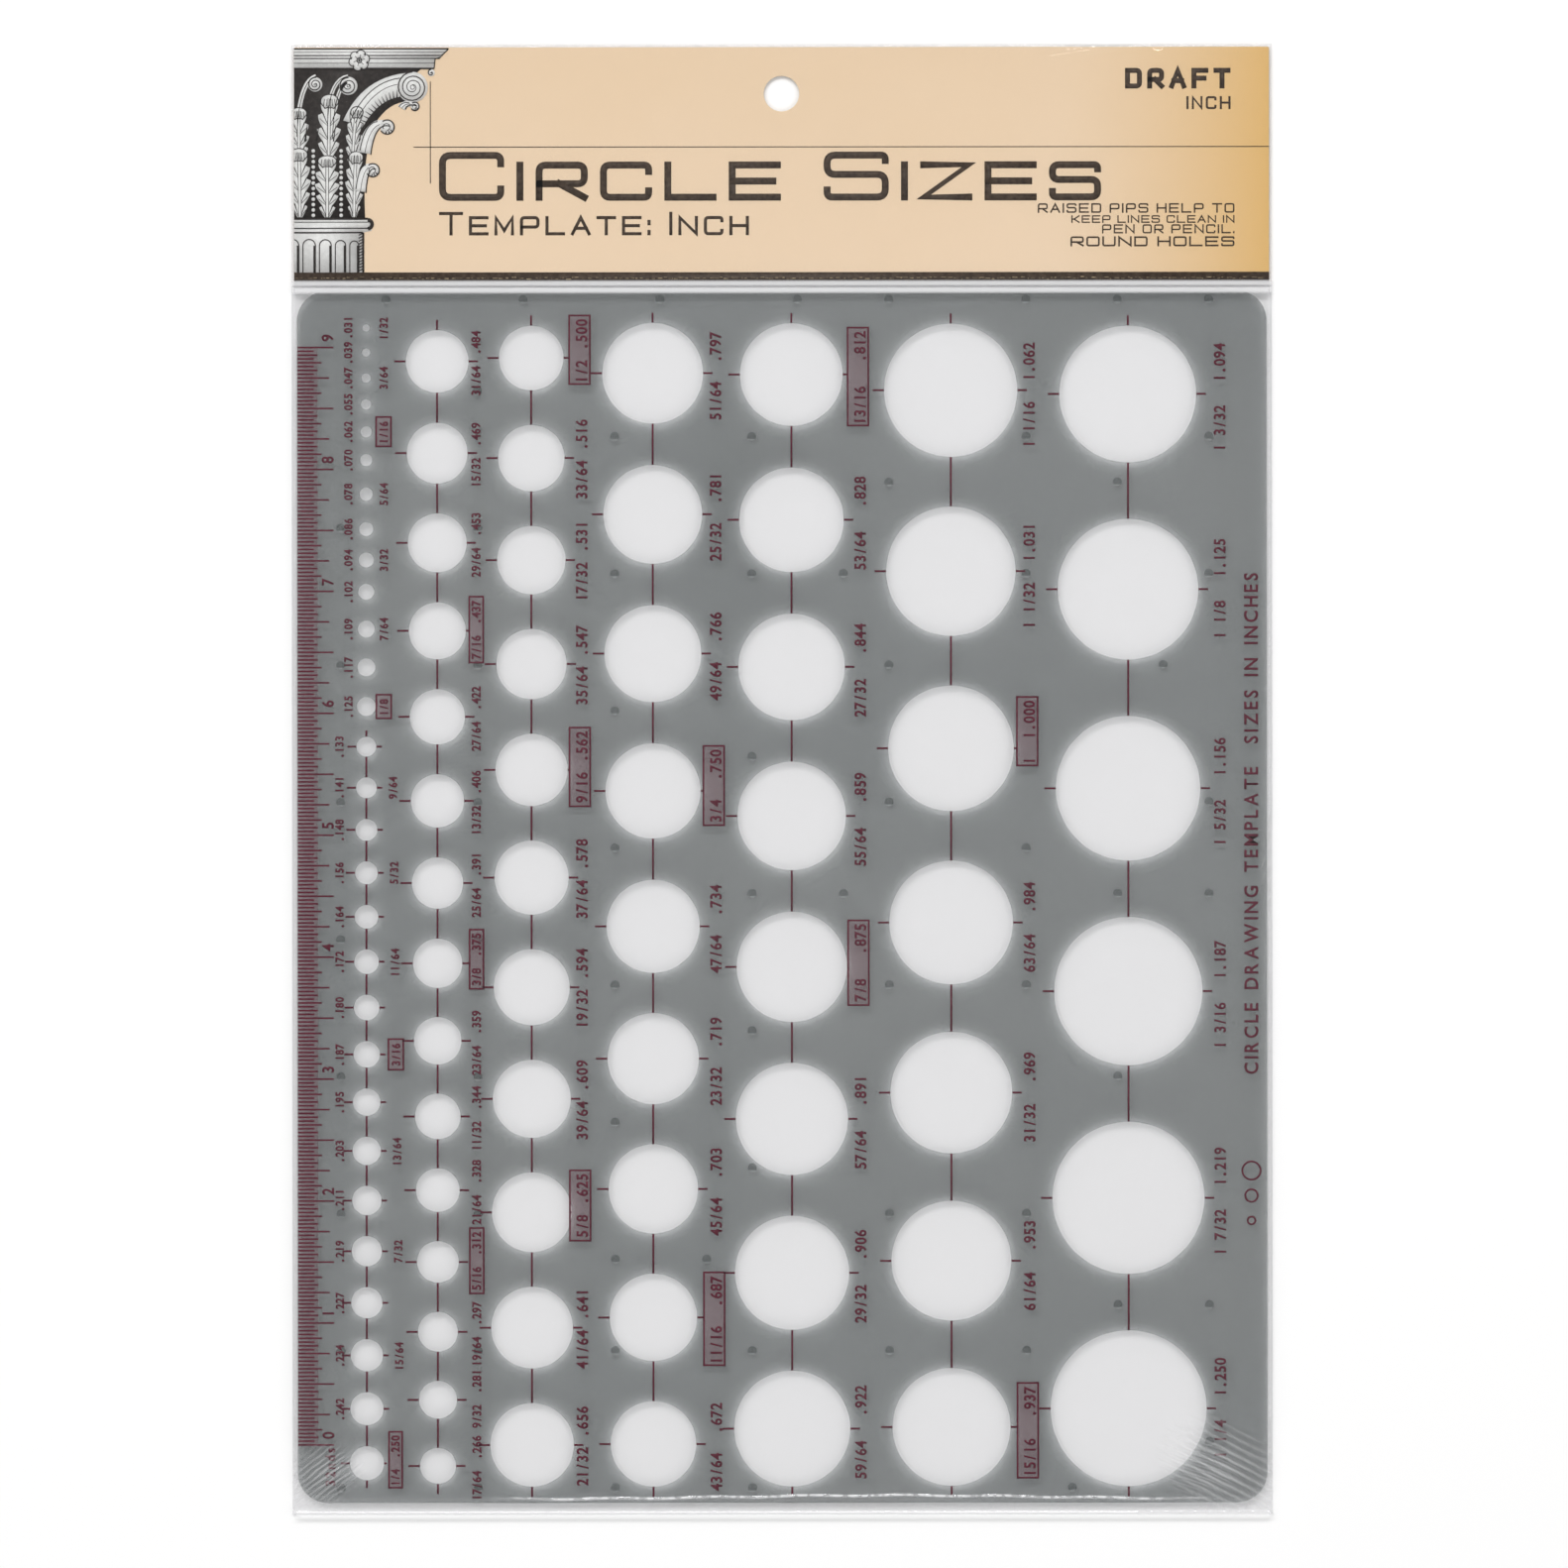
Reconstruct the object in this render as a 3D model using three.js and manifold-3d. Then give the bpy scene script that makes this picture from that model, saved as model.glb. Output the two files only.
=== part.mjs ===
// Circle template in its clear storage sleeve, with a printed header card.
//
// Millimetres, +Z up. The sleeve lies flat on its back film: +Y runs towards the header and +X to
// the right, and the origin is the middle of the back film's outer face. The template is one
// moulded sheet of tinted plastic with round holes in seven columns, and small pips under it that
// keep it off wet ink. The sleeve is two films welded along both sides, across the top, and across
// under the header card. Its bottom end is the mouth that the template slides out of.

import * as THREE from 'three';
import { mergeVertices } from 'three/addons/utils/BufferGeometryUtils.js';
import Module from 'manifold-3d';

const INCH = 25.4;

// Clearance kept between pieces that touch on the real object.
const GAP = 0.3;

// Sleeve.
const SLEEVE_WIDTH = 204.4;
const SLEEVE_LENGTH = 306.4;
const FILM = 0.1;
const WELD_WIDTH = 0.3;
const HANG_HOLE_DIAMETER = 7.4;
const HANG_HOLE_BELOW_TOP = 10.3;

// Header card.
const CARD_THICKNESS = 0.3;
const CARD_LENGTH = 49.4;
const CARD_MARGIN = 0.6;
const CARD_TOP_MARGIN = 0.6;

// Template sheet.
const SHEET_WIDTH = 202.0;
const SHEET_LENGTH = 252.5;
const SHEET_THICKNESS = 0.76;
const SHEET_CORNER = INCH / 4;
const MOUTH_LIP = 2.5;

// Pips under the sheet.
const PIP_HEIGHT = 0.5;
const PIP_FOOT_RADIUS = 0.95;
const PIP_TIP_RADIUS = 0.55;
const PIP_SIDES = 6;

// Holes. A size is a count of the column's fraction of an inch, and every hole is cut larger than
// its size by the pen allowance. A column runs down from its first hole, and gaps lists how many
// clear spaces in a row have which width.
const PEN_ALLOWANCE = 0.76;
const COLUMNS = [
  { x: -86.6, firstY: 94.1, fraction: INCH / 128, first: 4, last: 32, step: 1,
    gaps: [[5, 4.22], [2, 5.2], [2, 4.15], [19, 5.09]] },
  { x: -71.8, firstY: 87.1, fraction: INCH / 64, first: 31, last: 17, step: -1,
    gaps: [[7, 7.0], [7, 6.82]] },
  { x: -52.2, firstY: 87.8, fraction: INCH / 64, first: 32, last: 42, step: 1,
    gaps: [[10, 7.96]] },
  { x: -26.9, firstY: 84.6, fraction: INCH / 64, first: 51, last: 43, step: -1,
    gaps: [[4, 9.36], [4, 9.1]] },
  { x: 2.0, firstY: 84.3, fraction: INCH / 64, first: 52, last: 59, step: 1,
    gaps: [[4, 9.42], [3, 9.24]] },
  { x: 35.2, firstY: 81.0, fraction: INCH / 64, sizes: [68, 66, 64, 63, 62, 61, 60],
    gaps: [[3, 11.1], [3, 10.62]] },
  { x: 72.1, firstY: 80.2, fraction: INCH / 64, first: 70, last: 80, step: 2,
    gaps: [[5, 12.5]] },
];

// Pips sit on a 3/8 inch grid that starts at the sheet's top left. Each row lists its columns.
const PIP_PITCH = INCH * 3 / 8;
const PIP_GRID_X = -92.0;
const PIP_GRID_Y = 100.0;
const PIP_ROWS = {
  0: [1, 4, 7, 10, 12, 15, 17, 19],
  2: [3],
  3: [6, 9, 15, 19],
  4: [12, 17],
  5: [0, 3],
  6: [6, 9, 11, 15, 19],
  8: [0, 3, 12, 18],
  9: [6],
  10: [9],
  11: [0, 3, 12, 19],
  12: [6, 15],
  13: [9, 11, 17, 19],
  14: [0, 3],
  15: [6, 12, 15],
  16: [9],
  17: [0, 3, 17],
  18: [6],
  19: [9],
  20: [0, 3, 12, 15],
  21: [6, 8],
  22: [17, 19],
  23: [0, 3, 6, 9, 12, 15],
  25: [19],
  26: [0, 3, 6, 9, 16],
};

// Heights, from the surface up.
const PIP_TIP_Z = FILM + GAP;
const SHEET_Z = PIP_TIP_Z + PIP_HEIGHT;
const FRONT_OVER_SHEET_Z = SHEET_Z + SHEET_THICKNESS + GAP;
const WELD_Z = FILM + GAP;
const CARD_Z = FILM + GAP;
const FRONT_OVER_CARD_Z = CARD_Z + CARD_THICKNESS + GAP;

// Places along the sleeve.
const SLEEVE_TOP_Y = SLEEVE_LENGTH / 2;
const SLEEVE_BOTTOM_Y = -SLEEVE_LENGTH / 2;
const HANG_HOLE_Y = SLEEVE_TOP_Y - HANG_HOLE_BELOW_TOP;
const CARD_TOP_Y = SLEEVE_TOP_Y - CARD_TOP_MARGIN;
const CARD_BOTTOM_Y = CARD_TOP_Y - CARD_LENGTH;
const SHEET_BOTTOM_Y = SLEEVE_BOTTOM_Y + MOUTH_LIP;
const SHEET_TOP_Y = SHEET_BOTTOM_Y + SHEET_LENGTH;

const wasm = await Module();
wasm.setup();

// A closed three.js geometry as a solid that can be joined and cut.
function solidFrom(geometry) {
  const bare = geometry.clone();
  bare.deleteAttribute('normal');
  bare.deleteAttribute('uv');
  const merged = mergeVertices(bare);
  return new wasm.Manifold(new wasm.Mesh({
    numProp: 3,
    vertProperties: Float32Array.from(merged.attributes.position.array),
    triVerts: Uint32Array.from(merged.index.array),
  }));
}

function geometryFrom(solid) {
  const mesh = solid.getMesh();
  const geometry = new THREE.BufferGeometry();
  geometry.setAttribute('position', new THREE.BufferAttribute(mesh.vertProperties, 3));
  geometry.setIndex(new THREE.BufferAttribute(mesh.triVerts, 1));
  geometry.computeVertexNormals();
  return geometry;
}

function plateGeometry(shape, thickness, bottomZ) {
  const geometry = new THREE.ExtrudeGeometry(shape, { depth: thickness, bevelEnabled: false });
  geometry.translate(0, 0, bottomZ);
  return geometry;
}

function rectangleShape(left, right, bottom, top) {
  const shape = new THREE.Shape();
  shape.moveTo(left, bottom);
  shape.lineTo(right, bottom);
  shape.lineTo(right, top);
  shape.lineTo(left, top);
  shape.closePath();
  return shape;
}

// A round hole as a ring of straight sides whose middles lie on the true circle.
function ringPoints(x, y, diameter, sides) {
  const cornerRadius = diameter / 2 / Math.cos(Math.PI / sides);
  const points = [];
  for (let i = 0; i < sides; i += 1) {
    const angle = 2 * Math.PI * (i + 0.5) / sides;
    points.push(new THREE.Vector2(x + cornerRadius * Math.cos(angle), y + cornerRadius * Math.sin(angle)));
  }
  return points;
}

function sidesFor(diameter) {
  if (diameter < 4) return 8;
  if (diameter < 10) return 12;
  return 20;
}

function columnSizes(column) {
  if (column.sizes) return column.sizes;
  const sizes = [];
  for (let n = column.first; n !== column.last + column.step; n += column.step) sizes.push(n);
  return sizes;
}

// Every hole of the template: its centre and its cut diameter.
function templateHoles() {
  const holes = [];
  for (const column of COLUMNS) {
    const gaps = column.gaps.flatMap(([count, width]) => Array(count).fill(width));
    const sizes = columnSizes(column);
    let y = column.firstY;
    sizes.forEach((size, i) => {
      const nominal = size * column.fraction;
      holes.push({ x: column.x, y, diameter: nominal + PEN_ALLOWANCE });
      if (i < gaps.length) y -= gaps[i] + (nominal + sizes[i + 1] * column.fraction) / 2;
    });
  }
  return holes;
}

function roundedSheetShape() {
  const right = SHEET_WIDTH / 2;
  const left = -right;
  const r = SHEET_CORNER;
  const shape = new THREE.Shape();
  shape.moveTo(left + r, SHEET_BOTTOM_Y);
  shape.lineTo(right - r, SHEET_BOTTOM_Y);
  shape.absarc(right - r, SHEET_BOTTOM_Y + r, r, -Math.PI / 2, 0);
  shape.lineTo(right, SHEET_TOP_Y - r);
  shape.absarc(right - r, SHEET_TOP_Y - r, r, 0, Math.PI / 2);
  shape.lineTo(left + r, SHEET_TOP_Y);
  shape.absarc(left + r, SHEET_TOP_Y - r, r, Math.PI / 2, Math.PI);
  shape.lineTo(left, SHEET_BOTTOM_Y + r);
  shape.absarc(left + r, SHEET_BOTTOM_Y + r, r, Math.PI, 1.5 * Math.PI);
  return shape;
}

// One pip: a low cone frustum whose foot runs a little way into the sheet.
function pipSolid(column, row) {
  const bite = SHEET_THICKNESS / 4;
  const height = PIP_HEIGHT + bite;
  const pip = new THREE.CylinderGeometry(PIP_FOOT_RADIUS, PIP_TIP_RADIUS, height, PIP_SIDES);
  pip.rotateX(Math.PI / 2);
  pip.translate(PIP_GRID_X + column * PIP_PITCH, PIP_GRID_Y - row * PIP_PITCH, PIP_TIP_Z + height / 2);
  return solidFrom(pip);
}

function templateSheetGeometry() {
  const shape = roundedSheetShape();
  for (const hole of templateHoles()) {
    const ring = ringPoints(hole.x, hole.y, hole.diameter, sidesFor(hole.diameter));
    shape.holes.push(new THREE.Path(ring));
  }
  let sheet = solidFrom(plateGeometry(shape, SHEET_THICKNESS, SHEET_Z));
  for (const [row, columns] of Object.entries(PIP_ROWS)) {
    for (const column of columns) sheet = sheet.add(pipSolid(column, Number(row)));
  }
  return geometryFrom(sheet);
}

// The hang hole goes through both films and the card in one punch.
function hangHoleRing() {
  return ringPoints(0, HANG_HOLE_Y, HANG_HOLE_DIAMETER, 16);
}

function punchedRectangle(left, right, bottom, top) {
  const shape = rectangleShape(left, right, bottom, top);
  shape.holes.push(new THREE.Path(hangHoleRing()));
  return shape;
}

function backFilmGeometry() {
  const half = SLEEVE_WIDTH / 2;
  return plateGeometry(punchedRectangle(-half, half, SLEEVE_BOTTOM_Y, SLEEVE_TOP_Y), FILM, 0);
}

function headerCardGeometry() {
  const half = SLEEVE_WIDTH / 2 - CARD_MARGIN;
  return plateGeometry(punchedRectangle(-half, half, CARD_BOTTOM_Y, CARD_TOP_Y), CARD_THICKNESS, CARD_Z);
}

// The front film is a grid of heights. Each row across it has its height in the middle, and the
// place on each side where it starts to drop to the weld.
const DROP = 0.3;
const CARD_SHOULDER_X = SLEEVE_WIDTH / 2 - WELD_WIDTH;
const SHEET_SHOULDER_X = SHEET_WIDTH / 2 + GAP + 0.05;
const FRONT_ROWS = [
  { y: SLEEVE_BOTTOM_Y, middle: FRONT_OVER_SHEET_Z, shoulder: SHEET_SHOULDER_X },
  { y: SHEET_TOP_Y + GAP + 0.05, middle: FRONT_OVER_SHEET_Z, shoulder: SHEET_SHOULDER_X },
  { y: SHEET_TOP_Y + GAP + 0.05 + DROP, middle: WELD_Z, shoulder: SHEET_SHOULDER_X },
  { y: CARD_BOTTOM_Y - GAP - DROP / 2, middle: WELD_Z, shoulder: CARD_SHOULDER_X },
  { y: CARD_BOTTOM_Y - GAP, middle: FRONT_OVER_CARD_Z, shoulder: CARD_SHOULDER_X },
  { y: SLEEVE_TOP_Y - WELD_WIDTH, middle: FRONT_OVER_CARD_Z, shoulder: CARD_SHOULDER_X },
  { y: SLEEVE_TOP_Y - WELD_WIDTH / 2, middle: WELD_Z, shoulder: CARD_SHOULDER_X },
  { y: SLEEVE_TOP_Y, middle: WELD_Z, shoulder: CARD_SHOULDER_X },
];

function frontStationsX() {
  const right = [
    SHEET_SHOULDER_X,
    SHEET_SHOULDER_X + DROP,
    CARD_SHOULDER_X,
    CARD_SHOULDER_X + DROP / 2,
    SLEEVE_WIDTH / 2,
  ];
  return [...right.map((x) => -x).reverse(), ...right];
}

function frontHeight(row, x) {
  return Math.abs(x) > row.shoulder + 1e-6 ? WELD_Z : row.middle;
}

function frontFilmGeometry() {
  const xs = frontStationsX();
  const across = xs.length;
  const along = FRONT_ROWS.length;
  const layer = across * along;
  const positions = [];
  for (const lift of [0, FILM]) {
    for (const row of FRONT_ROWS) {
      for (const x of xs) positions.push(x, row.y, frontHeight(row, x) + lift);
    }
  }
  const index = [];
  const quad = (a, b, c, d) => index.push(a, b, c, a, c, d);
  for (let j = 0; j < along - 1; j += 1) {
    for (let i = 0; i < across - 1; i += 1) {
      const a = j * across + i;
      quad(layer + a, layer + a + 1, layer + a + across + 1, layer + a + across);
      quad(a, a + across, a + across + 1, a + 1);
    }
  }
  const rim = [];
  for (let i = 0; i < across - 1; i += 1) rim.push(i);
  for (let j = 0; j < along - 1; j += 1) rim.push(j * across + across - 1);
  for (let i = across - 1; i > 0; i -= 1) rim.push((along - 1) * across + i);
  for (let j = along - 1; j > 0; j -= 1) rim.push(j * across);
  rim.forEach((a, i) => {
    const b = rim[(i + 1) % rim.length];
    quad(a, b, layer + b, layer + a);
  });
  const geometry = new THREE.BufferGeometry();
  geometry.setAttribute('position', new THREE.Float32BufferAttribute(positions, 3));
  geometry.setIndex(index);
  const punch = plateGeometry(new THREE.Shape(hangHoleRing()), FRONT_OVER_SHEET_Z, WELD_Z);
  return geometryFrom(solidFrom(geometry).subtract(solidFrom(punch)));
}

const clearFilm = { color: 0xd8dce0, roughness: 0.2, metalness: 0, transparent: true, opacity: 0.25 };
const tintedSheet = { color: 0x80827f, roughness: 0.45, metalness: 0 };
const printedCard = { color: 0xeacfae, roughness: 0.5, metalness: 0 };

function piece(name, geometry, finish) {
  const mesh = new THREE.Mesh(geometry, new THREE.MeshStandardMaterial(finish));
  mesh.name = name;
  return mesh;
}

const sleeve = new THREE.Group();
sleeve.add(piece('sleeve_back_film', backFilmGeometry(), clearFilm));
sleeve.add(piece('sleeve_front_film', frontFilmGeometry(), clearFilm));
sleeve.add(piece('header_card', headerCardGeometry(), printedCard));

const circleTemplate = new THREE.Group();
circleTemplate.add(sleeve);
circleTemplate.add(piece('template_sheet', templateSheetGeometry(), tintedSheet));

export default circleTemplate;
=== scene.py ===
import math
import random

import bmesh
import bpy
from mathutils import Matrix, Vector
from mathutils.geometry import delaunay_2d_cdt


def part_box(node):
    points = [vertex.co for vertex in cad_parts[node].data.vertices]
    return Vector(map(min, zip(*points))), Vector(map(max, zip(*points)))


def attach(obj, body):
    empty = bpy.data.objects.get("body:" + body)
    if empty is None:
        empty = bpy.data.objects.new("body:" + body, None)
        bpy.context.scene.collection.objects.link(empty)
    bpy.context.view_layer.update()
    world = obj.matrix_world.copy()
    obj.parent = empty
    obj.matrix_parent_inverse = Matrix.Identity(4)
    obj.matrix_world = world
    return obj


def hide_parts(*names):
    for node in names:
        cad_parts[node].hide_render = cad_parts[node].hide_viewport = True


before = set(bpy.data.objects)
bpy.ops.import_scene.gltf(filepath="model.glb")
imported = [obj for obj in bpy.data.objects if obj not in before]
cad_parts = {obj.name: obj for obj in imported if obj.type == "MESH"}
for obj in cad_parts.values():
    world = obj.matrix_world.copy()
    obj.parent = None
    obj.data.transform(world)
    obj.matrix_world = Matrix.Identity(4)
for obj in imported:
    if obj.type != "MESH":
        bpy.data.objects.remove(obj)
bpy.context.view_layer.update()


# ---------------------------------------------------------------------------------------------
# Back film: the rear web of the sleeve, cut from clear glossy film and punched for the hang
# hole. It lies flat and carries everything else, and its edges are welded to the front web.
# ---------------------------------------------------------------------------------------------

MM = 0.001
FILM_THICKNESS = 0.1
HANG_HOLE_RADIUS = 3.7
HANG_HOLE_BELOW_TOP = 10.3
FILM_MIRROR = 0.04
MIRROR_POWER = 5.0
FILM_HAZE = 0.008


def box_mm(node):
    low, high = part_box(node)
    return [c / MM for c in low], [c / MM for c in high]


sleeve_low, sleeve_high = box_mm("sleeve_back_film")
hang_hole = (0.0, sleeve_high[1] - HANG_HOLE_BELOW_TOP)


def spoke(x, y, reach, angle):
    """The spot at a distance and a direction from a centre."""
    return (x + reach * math.cos(angle), y + reach * math.sin(angle))


def ring(x, y, radius, sides):
    turn = 2 * math.pi / sides
    return [spoke(x, y, radius, i * turn) for i in range(sides)]


def triangles_between(points, loops, keep):
    """Triangulates flat points, with each loop's edges held, and keeps those whose middle passes."""
    edges = []
    for loop in loops:
        edges += [(a, b) for a, b in zip(loop, loop[1:] + loop[:1])]
    flat = [Vector(p) for p in points]
    found = delaunay_2d_cdt(flat, edges, [], 0, 1e-6)
    spots = [tuple(v) for v in found[0]]
    faces = []
    for face in found[2]:
        middle = [sum(spots[i][k] for i in face) / 3 for k in (0, 1)]
        if keep(*middle):
            faces.append(tuple(face))
    return spots, faces


def object_from(name, verts_mm, faces, material, sharp_degrees=40):
    mesh = bpy.data.meshes.new(name)
    mesh.from_pydata([Vector(v) * MM for v in verts_mm], [], faces)
    mesh.update()
    mesh.shade_smooth()
    mesh.set_sharp_from_angle(angle=math.radians(sharp_degrees))
    mesh.materials.append(material)
    piece = bpy.data.objects.new(name, mesh)
    bpy.context.scene.collection.objects.link(piece)
    return piece


def slope_normal(height, x, y):
    step = 0.01
    rise_x = (height(x + step, y) - height(x - step, y)) / (2 * step)
    rise_y = (height(x, y + step) - height(x, y - step)) / (2 * step)
    return Vector((-rise_x, -rise_y, 1)).normalized()


def film_web(name, points, height, material):
    """A film of even thickness over a height field, punched for the hang hole."""
    hole = ring(*hang_hole, HANG_HOLE_RADIUS, 64)
    clear = HANG_HOLE_RADIUS + 0.05
    spread = [p for p in points if math.dist(p, hang_hole) > clear]
    spots, faces = triangles_between(
        hole + spread, [list(range(len(hole)))],
        lambda x, y: math.dist((x, y), hang_hole) > HANG_HOLE_RADIUS - 0.02,
    )
    lower = [Vector((x, y, height(x, y))) for x, y in spots]
    normals = [slope_normal(height, x, y) for x, y in spots]
    upper = [v + n * FILM_THICKNESS for v, n in zip(lower, normals)]
    directed = {(a, b) for face in faces for a, b in zip(face, face[1:] + face[:1])}
    rim = sorted((a, b) for a, b in directed if (b, a) not in directed)
    count = len(lower)
    solid = [tuple(i + count for i in face) for face in faces]
    solid += [tuple(reversed(face)) for face in faces]
    solid += [(a, b, b + count, a + count) for a, b in rim]
    piece = object_from(name, lower + upper, solid, material)
    piece.data.normals_split_custom_set_from_vertices([-n for n in normals] + normals)
    return piece


def node_tree(name):
    material = bpy.data.materials.new(name)
    material.use_nodes = True
    material.node_tree.nodes.clear()
    return material, material.node_tree


def feed(tree, socket, value):
    """Joins a socket to another node's output, or sets it to a plain value."""
    if isinstance(value, bpy.types.NodeSocket):
        tree.links.new(value, socket)
    else:
        socket.default_value = value


def add_node(tree, kind, **inputs):
    node = tree.nodes.new(kind)
    for key, value in inputs.items():
        feed(tree, node.inputs[key.replace("_", " ")], value)
    return node


def object_place(tree):
    return tree.nodes.new("ShaderNodeTexCoord").outputs["Object"]


def noise(tree, scale, detail=3.0):
    node = add_node(tree, "ShaderNodeTexNoise", Vector=object_place(tree), Scale=scale, Detail=detail)
    return node.outputs["Fac"]


def object_axis(tree, axis):
    return add_node(tree, "ShaderNodeSeparateXYZ", Vector=object_place(tree)).outputs[axis]


def spread_to(tree, value, low, high, start=0.0, end=1.0):
    """Maps a value from start..end to low..high."""
    node = add_node(
        tree, "ShaderNodeMapRange", Value=value, From_Min=start, From_Max=end, To_Min=low, To_Max=high
    )
    return node.outputs["Result"]


def math_node(tree, operation, first, second):
    node = tree.nodes.new("ShaderNodeMath")
    node.operation = operation
    feed(tree, node.inputs[0], first)
    feed(tree, node.inputs[1], second)
    return node.outputs[0]


def attribute_value(tree, name):
    node = tree.nodes.new("ShaderNodeAttribute")
    node.attribute_name = name
    return node.outputs["Fac"]


def bump(tree, height, strength, distance_mm):
    node = add_node(tree, "ShaderNodeBump", Height=height, Strength=strength, Distance=distance_mm * MM)
    return node.outputs["Normal"]


def mixed_shader(tree, share, first, second):
    """The first shader, with a share of the second over it."""
    node = tree.nodes.new("ShaderNodeMixShader")
    feed(tree, node.inputs[0], share)
    feed(tree, node.inputs[1], first.outputs[0])
    feed(tree, node.inputs[2], second.outputs[0])
    return node


def finished(material, shader):
    add_node(material.node_tree, "ShaderNodeOutputMaterial", Surface=shader.outputs[0])
    return material


def clear_film_material(name, roughness, frosts_and_glints=()):
    """Clear film: it lets light through, mirrors by angle, and has a faint uneven haze.

    Each of the frosts, given the node tree, returns how much white there is at a spot, as frost and as
    painted highlight."""
    material, tree = node_tree(name)
    through = add_node(tree, "ShaderNodeBsdfTransparent", Color=(0.990, 0.990, 0.991, 1))
    mirror = add_node(tree, "ShaderNodeBsdfGlossy", Color=(0.99, 0.98, 1.0, 1), Roughness=roughness)
    dull = add_node(tree, "ShaderNodeBsdfDiffuse", Color=(0.88, 0.88, 0.89, 1))
    facing = add_node(tree, "ShaderNodeLayerWeight", Blend=0.5)
    grazing = math_node(tree, "POWER", facing.outputs["Facing"], MIRROR_POWER)
    gloss = mixed_shader(tree, spread_to(tree, grazing, FILM_MIRROR, 1.0), through, mirror)
    cloud = spread_to(tree, noise(tree, 14.0, 1.0), FILM_HAZE * 0.5, FILM_HAZE * 1.5, 0.3, 0.7)
    for frost_and_glint in frosts_and_glints:
        cloud = math_node(tree, "ADD", cloud, frost_and_glint(tree))
    return finished(material, mixed_shader(tree, cloud, gloss, dull))


def steps(start, stop, size):
    count = max(1, round(abs(stop - start) / size))
    return [start + (stop - start) * i / count for i in range(count + 1)]


def grid(xs, ys):
    return [(x, y) for y in ys for x in xs]


back_points = grid(
    steps(sleeve_low[0], sleeve_high[0], 6.0), steps(sleeve_low[1], sleeve_high[1], 6.0)
)
back_film = film_web(
    "back_film_clear", back_points, lambda x, y: 0.0, clear_film_material("clear_back", 0.1)
)
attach(back_film, "sleeve")
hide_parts("sleeve_back_film")


# ---------------------------------------------------------------------------------------------
# Header card: smooth white card, die cut and printed edge to edge in a warm buff tint that
# deepens towards its right end. It is sealed between the films at the top of the sleeve.
# ---------------------------------------------------------------------------------------------

card_low, card_high = box_mm("header_card")
CARD_EDGE = 0.05
CARD_CORNER = 0.3


def plate(name, outline, holes, low, high, chamfer, material, extra=()):
    """A flat plate with chamfered edges. outline(inset) gives its rim; holes are (x, y, r, sides).

    extra points are worked into its two faces."""
    rims = [outline] + [
        (lambda inset, h=hole: list(reversed(ring(h[0], h[1], h[2] + inset, h[3])))) for hole in holes
    ]
    verts = []
    starts = []
    for z, inset in ((low + chamfer, 0.0), (high - chamfer, 0.0), (low, chamfer), (high, chamfer)):
        starts.append(len(verts))
        for rim in rims:
            verts += [(x, y, z) for x, y in rim(inset)]
    loops = []
    first = 0
    for rim in rims:
        size = len(rim(0.0))
        loops.append(list(range(first, first + size)))
        first += size
    wall = [(starts[2], starts[0]), (starts[0], starts[1]), (starts[1], starts[3])]
    solid = []
    for below, above in wall:
        for loop in loops:
            for a, b in zip(loop, loop[1:] + loop[:1]):
                solid.append((a + below, b + below, b + above, a + above))
    face_rim = [v[:2] for v in verts[starts[3]:]]
    corners = outline(0.0)
    reach = [max(c[k] for c in corners) for k in (0, 1)]
    least = [min(c[k] for c in corners) for k in (0, 1)]

    def on_plate(x, y):
        within = least[0] < x < reach[0] and least[1] < y < reach[1]
        return within and all(math.dist((x, y), h[:2]) > h[2] for h in holes)

    spots, faces = triangles_between(face_rim + list(extra), loops, on_plate)
    lower = {}
    upper = {}
    for i, (x, y) in enumerate(spots):
        if i < len(face_rim):
            lower[i] = starts[2] + i
            upper[i] = starts[3] + i
        else:
            lower[i] = len(verts)
            upper[i] = len(verts) + 1
            verts += [(x, y, low), (x, y, high)]
    solid += [tuple(upper[i] for i in face) for face in faces]
    solid += [tuple(lower[i] for i in reversed(face)) for face in faces]
    return object_from(name, verts, solid, material, 25)


def rounded_outline(low, high, radius, corner_steps):
    """The rim of a rectangle with round corners, anticlockwise, as a function of its inset."""
    def rim(inset):
        r = max(radius - inset, 0.01)
        x0, y0, x1, y1 = low[0] + inset, low[1] + inset, high[0] - inset, high[1] - inset
        points = []
        for cx, cy, begin in (
            (x1 - r, y0 + r, -90), (x1 - r, y1 - r, 0), (x0 + r, y1 - r, 90), (x0 + r, y0 + r, 180)
        ):
            for i in range(corner_steps + 1):
                points.append(spoke(cx, cy, r, math.radians(begin + 90 * i / corner_steps)))
        return points
    return rim


def mixed_colour(tree, factor, first, second):
    node = tree.nodes.new("ShaderNodeMix")
    node.data_type = "RGBA"
    feed(tree, node.inputs["Factor"], factor)
    for index, value in ((6, first), (7, second)):
        feed(tree, node.inputs[index], (*value, 1) if isinstance(value, tuple) else value)
    return node.outputs[2]


CARD_BUFF = (0.85, 0.655, 0.445)
CARD_CREAM = (0.88, 0.69, 0.49)
CARD_AMBER = (0.76, 0.48, 0.16)
CARD_FIBRE = (0.55, 0.38, 0.25)
AMBER_REACH = 45.0


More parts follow.
